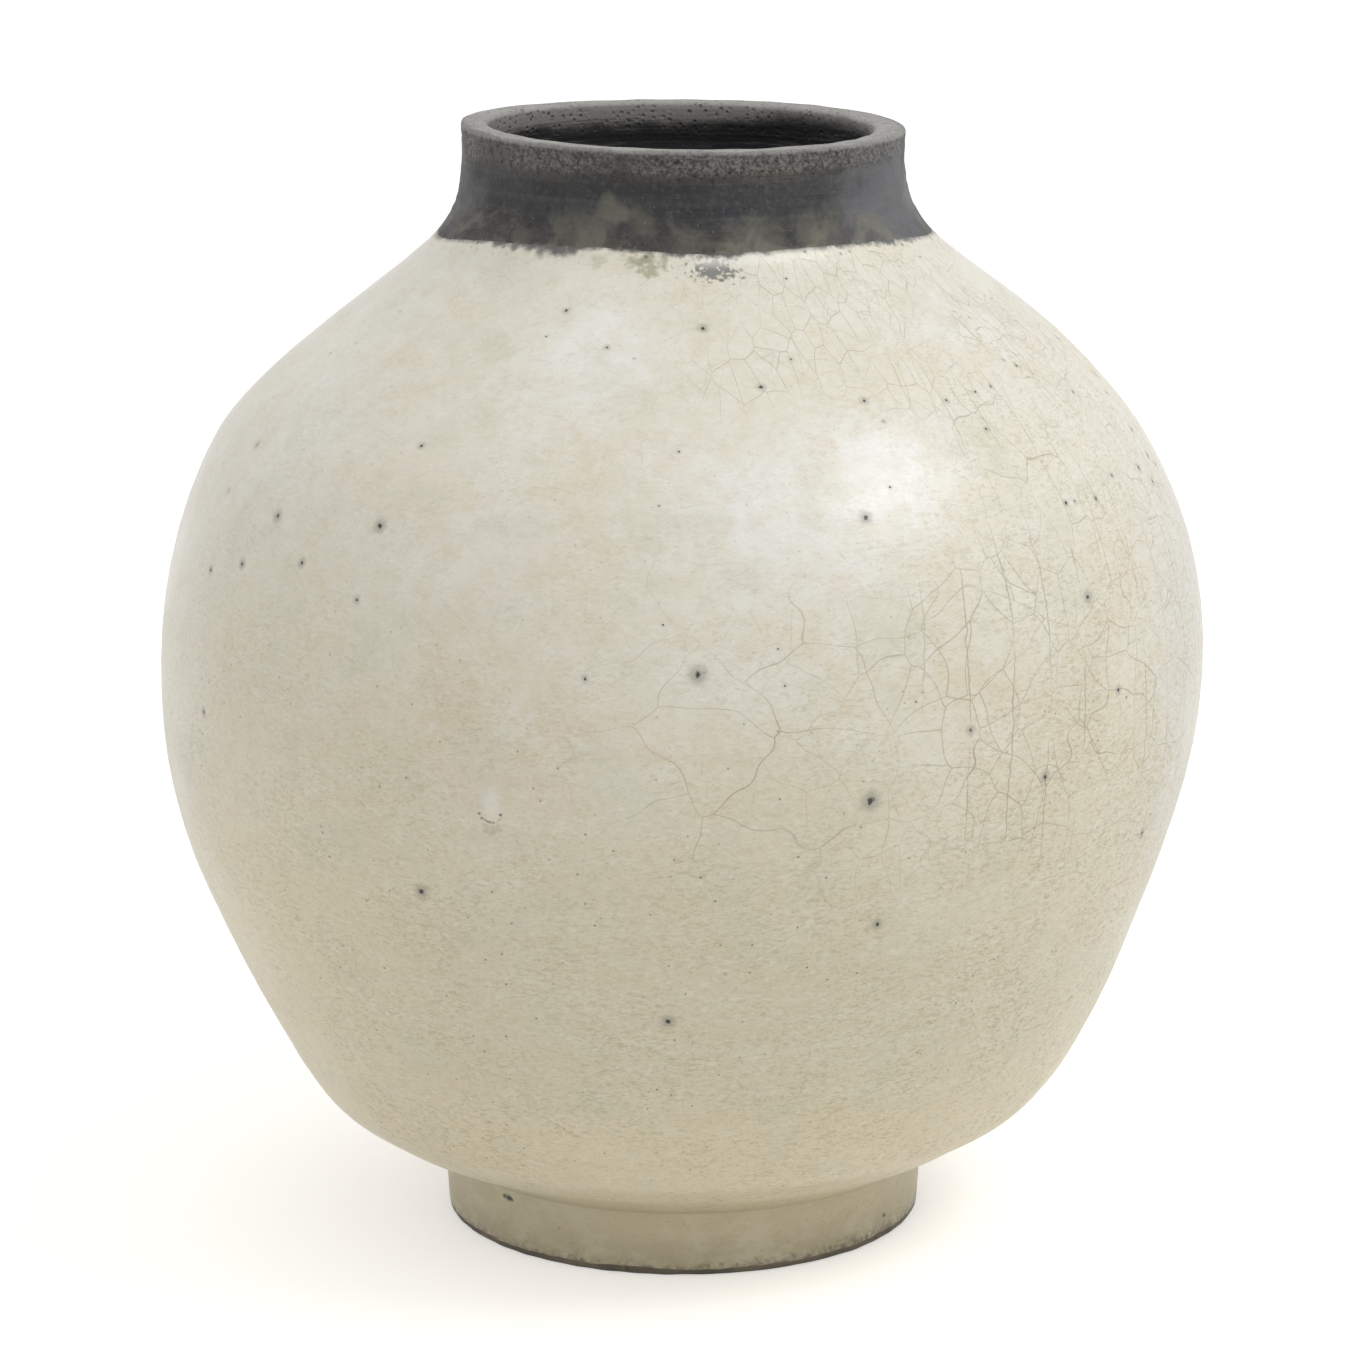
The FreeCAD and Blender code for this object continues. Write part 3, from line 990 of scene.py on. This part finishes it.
def paint_pinholes(paint):
    """Pinholes: a dark pit in a smoky ring."""
    at = paint.at
    pits = []
    for layer in range(PINHOLE_LAYERS):
        size = at.attribute(f"pinhole_size_{layer}")
        away = at.vector("DISTANCE", at.attribute(f"pinhole_{layer}", "Vector"), output=1)
        away = away / largest(size, 0.05) + at.wander(900, 2) * 0.0008
        paint.over("smoke", away.step(0.0024, 0.0003) * size.math("MINIMUM", 1.0) * 0.55)
        pits.append(away.step(0.00062, 0.00032))
        paint.over("pit", pits[-1])
    return largest(*pits)


def paint_drip(paint):
    """The drip: a pale bead with painted shade under it."""
    at = paint.at
    bead = at.patch(*DRIP, Reach=0.0056, Waver=0.5, Squash=(1.30, 1.0, 0.80), Inner=0.2)
    lower = at.patch(*DRIP_UNDERSHADE, Reach=0.0036, Waver=0.3, Squash=(1.1, 1.0, 1.0), Inner=0.9)
    upper = at.patch(*DRIP_FOOT, Reach=0.0038, Waver=0.3, Inner=0.9)
    # Painted shade: a dark crescent under the raised bead
    shade_under_bead = (lower - upper) * at.noise(500, 2).step(0.3, 0.5)
    paint.over("drip", bead * 0.42)
    paint.patches("pit", DRIP_DOTS, 500.0)
    paint.over("crack", largest(shade_under_bead, 0.0) * 0.9)
    return bead


def paint_upper_edge(paint):
    """The upper edge: stains, ragged strokes of bare clay, and the coat pale below it."""
    at, side = paint.at, paint.side
    paint.patches("olive", OLIVE_STAINS, 380.0, waver=3.0)
    bare = at.patch(*BLUE_STAIN, Reach=0.0056, Waver=3.4, Squash=(0.72, 1.0, 1.8), Grain=760.0,
                    Inner=0.4)
    paint.over("bare", bare * 0.8)
    below = at.attribute("below_edge")
    rim = below.step(0.3, 1.2) * below.step(4.0, 1.6)
    paint.over("drip", rim * side.step(*PALE_EDGE_START) * side.step(*PALE_EDGE_END) * 0.5)
    strokes = at.stretched(0.7, 0.7, 0.6).noise(420, 5, 0.65) - 0.42
    reach = at.noise(34, 2).step(0.40, 0.62, 1.2, 6.0)
    paint.over("edge", (strokes * reach - below).step(-1.1, 0.5))
    paint.patches("edge", DARK_SMEARS, 330.0, waver=1.2)
    dots = at.effect("Grog", Scale=520.0, Share=0.35, Size=0.45)
    paint.over("pit", dots * below.step(4.0, 0.5) * at.noise(60, 2).step(0.42, 0.6))


def paint_foot(paint, foot):
    """The foot: olive, browner and smoked towards the floor, and chipped."""
    at, height = paint.at, paint.height
    paint.over("foot", foot * 0.75)
    paint.over("worn", height.step(*WORN_FOOT, 0.0, 0.42))
    streak = at.stretched(1.0, 1.0, 1.6).noise(90, 5, 0.7).step(0.42, 0.68, 0.0, 0.55)
    paint.over("khaki", foot * streak)
    paint.over("smoke", foot * at.effect("Grog", Scale=430.0, Share=0.30, Size=0.22) * 0.5)
    smoke_and_shade = (height + at.noise(380, 6, 0.75) * 0.016).step(*SMOKED_FOOT)
    corner = paint.side.step(*RIGHT_FOOT) * height.step(*FOOT_CORNER)
    corner = corner * at.noise(700, 4, 0.75).step(0.44, 0.56)
    paint.over("soot", largest(smoke_and_shade, corner) * 0.8)
    paint.patches("pit", FOOT_CHIPS, 500.0)


def glaze_material(tones):
    """Milky crackled glaze: mottled, khaki and grainy low down, with smoked pinholes."""
    paint = Paint("moon_jar_glaze", tones, "cream")
    at = paint.at
    low = paint.height.step(*LOW_BODY)
    foot = paint.height.step(*FOOT)
    lines = at.effect("Throwing Lines", Lines=190.0, Along=9.0)
    crackle = glaze_crackle(paint)
    paint_glaze_body(paint, low, lines)
    wrinkle = paint_glaze_grain(paint, low)
    paint.over("crack", crackle * 0.66)
    pits = paint_pinholes(paint)
    bead = paint_drip(paint)
    paint_upper_edge(paint)
    paint_foot(paint, foot)

    # Satin, duller on the foot and low down; the bead stands out, cracks and pits are sunk
    gloss = at.noise(30, 3).step(0.3, 0.7, 0.30, 0.44) + low * 0.10 + foot * 0.12
    stands = bead * 3.0 - (crackle * 0.15 + pits)
    return paint.finish((lines, 0.0004, 0.35), (at.noise(130, 3, 0.5), 0.00045, 0.40),
                        (wrinkle, 0.00010, 0.6), (stands, 0.0003, 0.9),
                        Roughness=gloss, IOR=1.5, Coat_Weight=0.28, Coat_Roughness=0.30)


def paint_collar_clay(paint, lines, fine):
    """Charcoal clay with bluish and brownish parts, dusty lines, a fine grain and painted sheen
    at its sides.
    """
    at = paint.at
    cloud = at.noise(26, 4, 0.55, 0.5)
    paint.over("blue_grey", cloud.step(0.36, 0.62))
    wavy = paint.height + (cloud - 0.5) * 0.012
    ends = largest(wavy.step(*UPPER_BROWN), wavy.step(*LOWER_BROWN))
    paint.over("brown_grey", at.noise(52, 4, 0.6).step(0.35, 0.65, 0.35, 1.0) * ends * 0.75)
    paint.over("pale_grey", lines.step(0.45, 0.75, 0.0, 0.28))
    paint.over("soot", fine.step(0.5, 0.78, 0.0, 0.25))
    grain = at.noise(620, 5, 0.78)
    paint.over("pale_grey", grain.step(0.5, 0.7, 0.0, 0.6))
    paint.over("soot", grain.step(0.48, 0.34, 0.0, 0.75))
    paint.patches("olive_grey", COLLAR_OLIVE, 240.0)
    # Painted sheen where the collar's sides catch the light
    paint.patches("collar_sheen", COLLAR_SHEEN, 150.0)
    return grain


def paint_collar_pits(paint):
    """Dust of grog, coarse in the band below the lip, and clusters of pits."""
    at = paint.at
    coarse = at.effect("Grog", Scale=700.0, Share=0.42, Size=0.55)
    pale = at.effect("Grog", Scale=800.0, Share=0.05, Size=0.4)
    holes = at.effect("Grog", Scale=480.0, Share=0.5, Size=0.34)
    grog = coarse * paint.height.step(*COARSE_BAND) * at.noise(60, 3).step(0.4, 0.6, 0.25, 1.0)
    for across, down, reach in PIT_CLUSTERS:
        zone = at.patch(across, down, Reach=reach, Waver=1.0, Squash=(0.7, 1.0, 2.6))
        grog = largest(grog, zone * holes)
    paint.over("lip", pale * 0.30)
    paint.over("soot", grog * 0.7)
    return grog - pale * 0.3


def paint_crust(paint, spread):
    """Crumbling skin round the outside of the lip."""
    at = paint.at
    crust = at.noise(950, 5, 0.8)
    flaking = paint.height.step(*CRUST) * at.noise(26, 3).step(0.36, 0.54, 0.15, 1.0)
    flaking = flaking * spread.step(*LIP_FACE)
    paint.over("lip", flaking * crust.step(0.46, 0.60, 0.12, 0.62))
    paint.over("soot", flaking * crust.step(0.45, 0.37, 0.0, 0.90))
    return crust * flaking


def paint_lip_and_root(paint, spread, level, grain):
    """The rubbed top of the lip, and the haze and smudges of glaze wiped off the root."""
    at = paint.at
    top = (level + at.noise(260, 4, 0.7) * 0.0014).step(*RUBBED_TOP)
    paint.over("lip", top * spread.step(*LIP_TOP, 0.85, 0.95) * grain.step(0.34, 0.56, 0.55, 1.0))
    haze = (at.stretched(1.0, 1.0, 0.5).noise(420, 4, 0.65) - 0.62) * 9.0
    haze = haze + at.attribute("below_edge")
    paint.over("olive_grey", haze.step(-1.2, 0.6, 0.0, 0.75))
    smudge = at.noise(75, 4, 0.6, 0.8).step(0.5, 0.66)
    paint.over("olive_grey", paint.height.step(*WIPED_ROOT) * smudge * 0.5)


def paint_inner_wall(paint, spread, level):
    """The inside: pale at the rolled edge, painted shade dark below it, and drag lines."""
    at = paint.at
    ragged = level + at.noise(120, 4, 0.65) * 0.006 - paint.side.step(0.0, 0.030, 0.0, 0.0032)
    wall = spread.step(*INNER_WALL)
    smoke_and_shade = ragged.step(*SHADED_INNER_WALL)
    # Painted shade: the wall inside darkened below the rolled edge
    inner_shade = wall * smoke_and_shade
    paint.over("lip", (wall - inner_shade) * 0.45)
    paint.over("inside", inner_shade * 0.92)
    drag = at.effect("Throwing Lines", Lines=900.0, Along=50.0)
    paint.over("pale_grey", inner_shade * drag.step(0.54, 0.66, 0.0, 0.7))


def collar_material(tones):
    """Bare charcoal clay, burnished by the thrower's hand: lines, grog and a pale worn lip."""
    paint = Paint("bare_collar_clay", tones, "charcoal")
    at = paint.at
    spread = at.stretched(1.0, 1.0, 0.0).vector("LENGTH", output=1)
    level = paint.height + paint.side * LIP_FALL
    lines = at.effect("Throwing Lines", Lines=420.0, Along=7.0)
    fine = at.effect("Throwing Lines", Lines=1300.0, Along=22.0)
    grain = paint_collar_clay(paint, lines, fine)
    deep = paint_collar_pits(paint)
    crumbs = paint_crust(paint, spread)
    paint_lip_and_root(paint, spread, level, grain)
    paint_inner_wall(paint, spread, level)
    return paint.finish((lines, 0.0007, 0.6), (fine, 0.0003, 0.6),
                        (at.noise(900, 5, 0.75), 0.00045, 0.8), (crumbs, 0.0012, 0.8),
                        (deep, -0.0008, 1.0), Specular_IOR_Level=0.35,
                        Roughness=at.noise(80, 3).step(0.3, 0.7, 0.46, 0.66))


def clay_material(name, tones, first, second):
    """Bare fired clay: two tones, finger lines, grog and pits."""
    paint = Paint(name, tones, first)
    at = paint.at
    lines = at.effect("Throwing Lines", Lines=260.0, Along=8.0)
    grain = at.effect("Grog", Scale=520.0, Share=0.3, Size=0.5)
    paint.over(second, at.noise(40, 4, 0.6).step(0.35, 0.65))
    paint.over("soot", lines.step(0.45, 0.75, 0.0, 0.35))
    paint.over("soot", grain * 0.5)
    return paint.finish((lines, 0.0007, 0.6), (at.noise(900, 4, 0.7), 0.0003, 0.7),
                        Roughness=grain.step(0.0, 1.0, 0.72, 0.9))


def size_prop(name, description, default):
    return FloatProperty(name=name, description=description, default=default,
                         subtype="DISTANCE", unit="LENGTH", precision=5)


def colour_prop(name, description, red, green, blue):
    return FloatVectorProperty(name=name, description=description, subtype="COLOR", size=4,
                               min=0.0, max=1.0, default=colour(red, green, blue))


class MoonJarSizes(bpy.types.PropertyGroup):
    """Sizes of the finish over the clay."""
    glaze_line: size_prop("Glaze Line", "Height where the glaze stops under the collar",
                          274.5 * MM)
    foot_line: size_prop("Foot Line", "Bare clay between the floor and the glaze", 2.0 * MM)
    glaze_depth: size_prop("Glaze Depth", "Thickness of the glaze", 0.5 * MM)
    lump_height: size_prop("Lump Height", "How far the thrown body's slow lumps stand off",
                           0.35 * MM)
    lip_shift: size_prop("Lip Shift", "How far the mouth's middle lies to the left", 1.0 * MM)
    columns: IntProperty(name="Columns", description="Points round the glaze", default=480,
                         min=60, max=490)


class MoonJarGlazeTones(bpy.types.PropertyGroup):
    """Colours of the glaze."""
    cream: colour_prop("Cream", "Glaze on the shoulder", 219, 216, 202)
    khaki: colour_prop("Khaki", "Glaze low on the body", 207, 200, 176)
    stain: colour_prop("Stain", "Warm beige stains", 203, 190, 160)
    # Blush also paints the shade at the middle left
    blush: colour_prop("Blush", "Faintly pink stains", 208, 194, 168)
    # Pool also gives the painted highlights and the painted reflection at the left rim
    pool: colour_prop("Pool", "Paler, cooler glaze where it lies thick", 226, 226, 222)
    # Side is the painted shade at the right rim
    side: colour_prop("Side", "Cooler, greyer glaze on the right", 202, 202, 200)
    vein: colour_prop("Vein", "Fine yellowish grain", 172, 161, 130)
    sand: colour_prop("Sand", "Glaze just above the foot", 226, 213, 180)
    green: colour_prop("Green Ash", "Greenish drift in the glaze", 196, 196, 176)
    # Crack also paints the shade under the drip's bead
    crack: colour_prop("Crack", "Lines of the crackle", 138, 124, 98)
    smoke: colour_prop("Smoke", "Smoky rings round pinholes", 112, 112, 106)
    worn: colour_prop("Worn Foot", "Browner glaze low on the foot", 142, 132, 108)
    soot: colour_prop("Glaze Soot", "Smoked lower edge of the foot", 92, 88, 80)
    pit: colour_prop("Pit", "Bottom of a pinhole", 34, 36, 38)
    drip: colour_prop("Drip", "White bead of glaze", 230, 229, 222)
    olive: colour_prop("Olive", "Olive stain at the glaze's edge", 150, 148, 118)
    bare: colour_prop("Bare", "Blue-grey clay through the glaze", 78, 81, 87)
    edge: colour_prop("Edge", "Clay that shows through the glaze's edge", 80, 79, 78)
    foot: colour_prop("Foot", "Olive khaki of the glazed foot", 188, 178, 150)


class MoonJarCollarTones(bpy.types.PropertyGroup):
    """Colours of the bare collar."""
    charcoal: colour_prop("Charcoal", "Main colour of the collar", 46, 44, 43)
    blue_grey: colour_prop("Blue Grey", "Bluish, burnished parts", 43, 44, 49)
    brown_grey: colour_prop("Brown Grey", "Brownish parts", 78, 73, 66)
    pale_grey: colour_prop("Pale Grey", "Dusty throwing lines", 88, 87, 85)
    soot: colour_prop("Soot", "Dark grains and grooves", 32, 32, 33)
    # Inside is the painted shade on the wall inside the collar
    inside: colour_prop("Inside", "Smoked wall inside the collar", 34, 34, 36)
    collar_sheen: colour_prop("Pale Side", "Paler grey of the side that was wiped", 104, 105, 109)
    # Collar sheen is painted sheen on the collar's sides
    lip: colour_prop("Lip", "Rubbed top of the lip", 158, 156, 152)
    olive_grey: colour_prop("Olive Grey", "Wiped glaze at the collar's root", 122, 120, 106)


class MoonJarClayTones(bpy.types.PropertyGroup):
    """Colours of the clay under the glaze."""
    foot: colour_prop("Foot Clay", "Bare edge of the foot", 92, 86, 76)
    foot_pale: colour_prop("Pale Foot Clay", "Paler parts of the foot", 128, 118, 100)
    body: colour_prop("Body Clay", "Inside of the bowls", 104, 99, 92)
    body_pale: colour_prop("Pale Body Clay", "Paler parts inside", 130, 124, 114)
    slip: colour_prop("Slip", "Slip in the joints", 150, 143, 130)
    soot: colour_prop("Clay Soot", "Dark lines and grains", 58, 56, 54)


class MoonJarFloorTones(bpy.types.PropertyGroup):
    """Colours of the floor."""
    cool: colour_prop("Cool Floor", "Cooler parts of the floor", 231, 229, 225)
    warm: colour_prop("Warm Floor", "Warmer parts of the floor", 233, 231, 226)


# Points round the collar, the foot and the pieces inside
COLLAR_COLUMNS = 720
FOOT_COLUMNS = 480
INNER_COLUMNS = 360


class MOONJAR_OT_groups(bpy.types.Operator):
    """Make the node groups that the materials share"""
    bl_idname = "moonjar.groups"
    bl_label = "Make Effects"

    def execute(self, context):
        for build in (group_soft_patch, group_grog, group_throwing_lines, group_veins,
                      group_crackle, group_long_cracks):
            build()
        return {"FINISHED"}


class MOONJAR_OT_glaze(bpy.types.Operator):
    """Build the coat of glaze over the body and the foot"""
    bl_idname = "moonjar.glaze"
    bl_label = "Build Glaze"

    def execute(self, context):
        material = glaze_material(context.scene.moon_jar_glaze_tones)
        coat = make_piece("glaze_coat", glaze_rows, sizes().columns, material,
                          "outer_glaze")
        mark_pinholes(coat)
        mark_edge(coat)
        mark_unrolled(coat)
        return {"FINISHED"}


class MOONJAR_OT_collar(bpy.types.Operator):
    """Build the bare collar with its rolled lip"""
    bl_idname = "moonjar.collar"
    bl_label = "Build Collar"

    def execute(self, context):
        material = collar_material(context.scene.moon_jar_collar_tones)
        mark_edge(make_piece("thrown_collar", collar_rows, COLLAR_COLUMNS, material,
                             "neck_collar"))
        return {"FINISHED"}


class MOONJAR_OT_bowls(bpy.types.Operator):
    """Build the two thrown bowls and the foot ring"""
    bl_idname = "moonjar.bowls"
    bl_label = "Build Bowls and Foot"

    def execute(self, context):
        tones = context.scene.moon_jar_clay_tones
        body = clay_material("body_clay", tones, "body", "body_pale")
        foot = clay_material("foot_clay", tones, "foot", "foot_pale")
        make_piece("thrown_upper_bowl", upper_bowl_rows, INNER_COLUMNS, body,
                   "upper_bowl")
        make_piece("thrown_lower_bowl", lower_bowl_rows, INNER_COLUMNS, body,
                   "lower_bowl", poles=True)
        make_piece("turned_foot_ring", foot_ring_rows, FOOT_COLUMNS, foot,
                   "foot_ring")
        return {"FINISHED"}


class MOONJAR_OT_slips(bpy.types.Operator):
    """Build the layers of slip in the three joints"""
    bl_idname = "moonjar.slips"
    bl_label = "Build Slips"

    def execute(self, context):
        slip = clay_material("joint_slip", context.scene.moon_jar_clay_tones, "slip",
                             "body_pale")
        for name, rows, node in (("slip_under_collar", neck_slip_rows, "neck_slip"),
                                 ("slip_at_waist", waist_slip_rows, "waist_slip"),
                                 ("slip_over_foot", foot_slip_rows, "foot_slip")):
            make_piece(name, rows, INNER_COLUMNS, slip, node)
        return {"FINISHED"}


# Soft lamps: the pixel that mirrors the lamp, its distance and height in metres, and watts
SOFTBOXES = {"key_softbox": (894, 496, 1.2, 0.52, 5.2),
             "fill_softbox": (590, 350, 1.3, 0.45, 0.4)}
SOFTBOX_WIDENING = 1.45
FLOOR_REACH = 8.0
FLOOR_GLOW = 0.46
WORLD_LEVEL = 0.80
WHITE = (1.0, 1.0, 1.0, 1.0)


def add_softbox(name, across, down, away, side, watts):
    """An oval lamp, wider than it is high, that the jar reflects at a pixel of the photograph.

    It lies where the pixel's ray leaves the jar after it is mirrored on the outline.
    """
    hit = spot(across, down)
    turn = math.atan2(hit[1], hit[0] - float(read(PROFILE, "lean", hit[2])))
    out, up = (float(read(PROFILE, part, hit[2])) for part in ("out", "up"))
    normal = np.array([out * math.cos(turn), out * math.sin(turn), up])
    ray = hit - np.array(CAMERA_PLACE)
    ray /= np.linalg.norm(ray)
    mirrored = ray - 2 * ray.dot(normal) * normal
    lamp = add_object(name, bpy.data.lights.new(name, "AREA"))
    lamp.data.shape = "ELLIPSE"
    lamp.data.size = side * SOFTBOX_WIDENING
    lamp.data.size_y = side
    lamp.data.energy = watts
    lamp.location = hit + mirrored * away
    lamp.rotation_euler = Vector(-mirrored).to_track_quat("-Z", "Y").to_euler()


def rays_seen(tree, *others):
    """1 for the camera's rays and mirrored ones, and for those of the other kinds."""
    path = add_node(tree, "LightPath").outputs
    return largest(*(Signal(path[f"Is {kind} Ray"]) for kind in ("Camera", "Glossy", *others)))


def floor_material(tones):
    """Pale floor that catches the shadow; seen directly or mirrored, it is near white."""
    paint = Paint("pale_floor", tones, "cool")
    paint.over("warm", paint.at.noise(4, 2))
    return paint.finish(Roughness=0.9, Specular_IOR_Level=0.0, Emission_Color=WHITE,
                        Emission_Strength=rays_seen(paint.at.tree) * FLOOR_GLOW)


def white_world():
    """A world that is white to the camera and in reflections, and gives level light."""
    world = bpy.data.worlds.new("studio")
    world.use_nodes = True
    back = world.node_tree.nodes["Background"].inputs
    seen = rays_seen(world.node_tree, "Transmission")
    feed(back["Strength"], seen.step(0.0, 1.0, WORLD_LEVEL, 1.0))
    back["Color"].default_value = WHITE
    bpy.context.scene.world = world


class MOONJAR_OT_stage(bpy.types.Operator):
    """Set the floor, the soft lamps, the white surroundings and the camera"""
    bl_idname = "moonjar.stage"
    bl_label = "Set Stage"

    def execute(self, context):
        mesh = bpy.data.meshes.new("floor")
        corners = [(x * FLOOR_REACH, y * FLOOR_REACH, 0)
                   for x, y in ((-1, -1), (1, -1), (1, 1), (-1, 1))]
        mesh.from_pydata(corners, [], [(0, 1, 2, 3)])
        mesh.materials.append(floor_material(context.scene.moon_jar_floor_tones))
        add_object("floor", mesh)
        white_world()
        for name, values in SOFTBOXES.items():
            add_softbox(name, *values)
        camera = add_object("camera", bpy.data.cameras.new("camera"))
        camera.data.lens = CAMERA_LENS
        camera.data.sensor_width = SENSOR
        camera.location = CAMERA_PLACE
        camera.rotation_euler = (math.pi / 2 - CAMERA_PITCH, 0, 0)
        context.scene.camera = camera
        context.scene.view_settings.view_transform = "Standard"
        return {"FINISHED"}


STEPS = (MOONJAR_OT_groups, MOONJAR_OT_glaze, MOONJAR_OT_collar, MOONJAR_OT_bowls,
         MOONJAR_OT_slips, MOONJAR_OT_stage)
SETTINGS = {"moon_jar_sizes": MoonJarSizes, "moon_jar_glaze_tones": MoonJarGlazeTones,
            "moon_jar_collar_tones": MoonJarCollarTones,
            "moon_jar_clay_tones": MoonJarClayTones, "moon_jar_floor_tones": MoonJarFloorTones}


class MOONJAR_PT_panel(bpy.types.Panel):
    """Sidebar panel with the jar's settings and build steps"""
    bl_idname = "MOONJAR_PT_panel"
    bl_label = "Moon Jar"
    bl_space_type = "VIEW_3D"
    bl_region_type = "UI"
    bl_category = "Moon Jar"

    def draw(self, context):
        for name, kind in SETTINGS.items():
            box = self.layout.box()
            for label in kind.__annotations__:
                box.prop(getattr(context.scene, name), label)
        for step in STEPS:
            self.layout.operator(step.bl_idname)


CLASSES = (*SETTINGS.values(), *STEPS, MOONJAR_PT_panel)


def register():
    for kind in CLASSES:
        bpy.utils.register_class(kind)
    for name, kind in SETTINGS.items():
        setattr(bpy.types.Scene, name, PointerProperty(type=kind))


def unregister():
    for name in SETTINGS:
        delattr(bpy.types.Scene, name)
    for kind in reversed(CLASSES):
        bpy.utils.unregister_class(kind)


def main():
    """Builds the jar and its stage."""
    register()
    for step in STEPS:
        group, name = step.bl_idname.split(".")
        getattr(getattr(bpy.ops, group), name)()


if __name__ == "__main__":
    main()
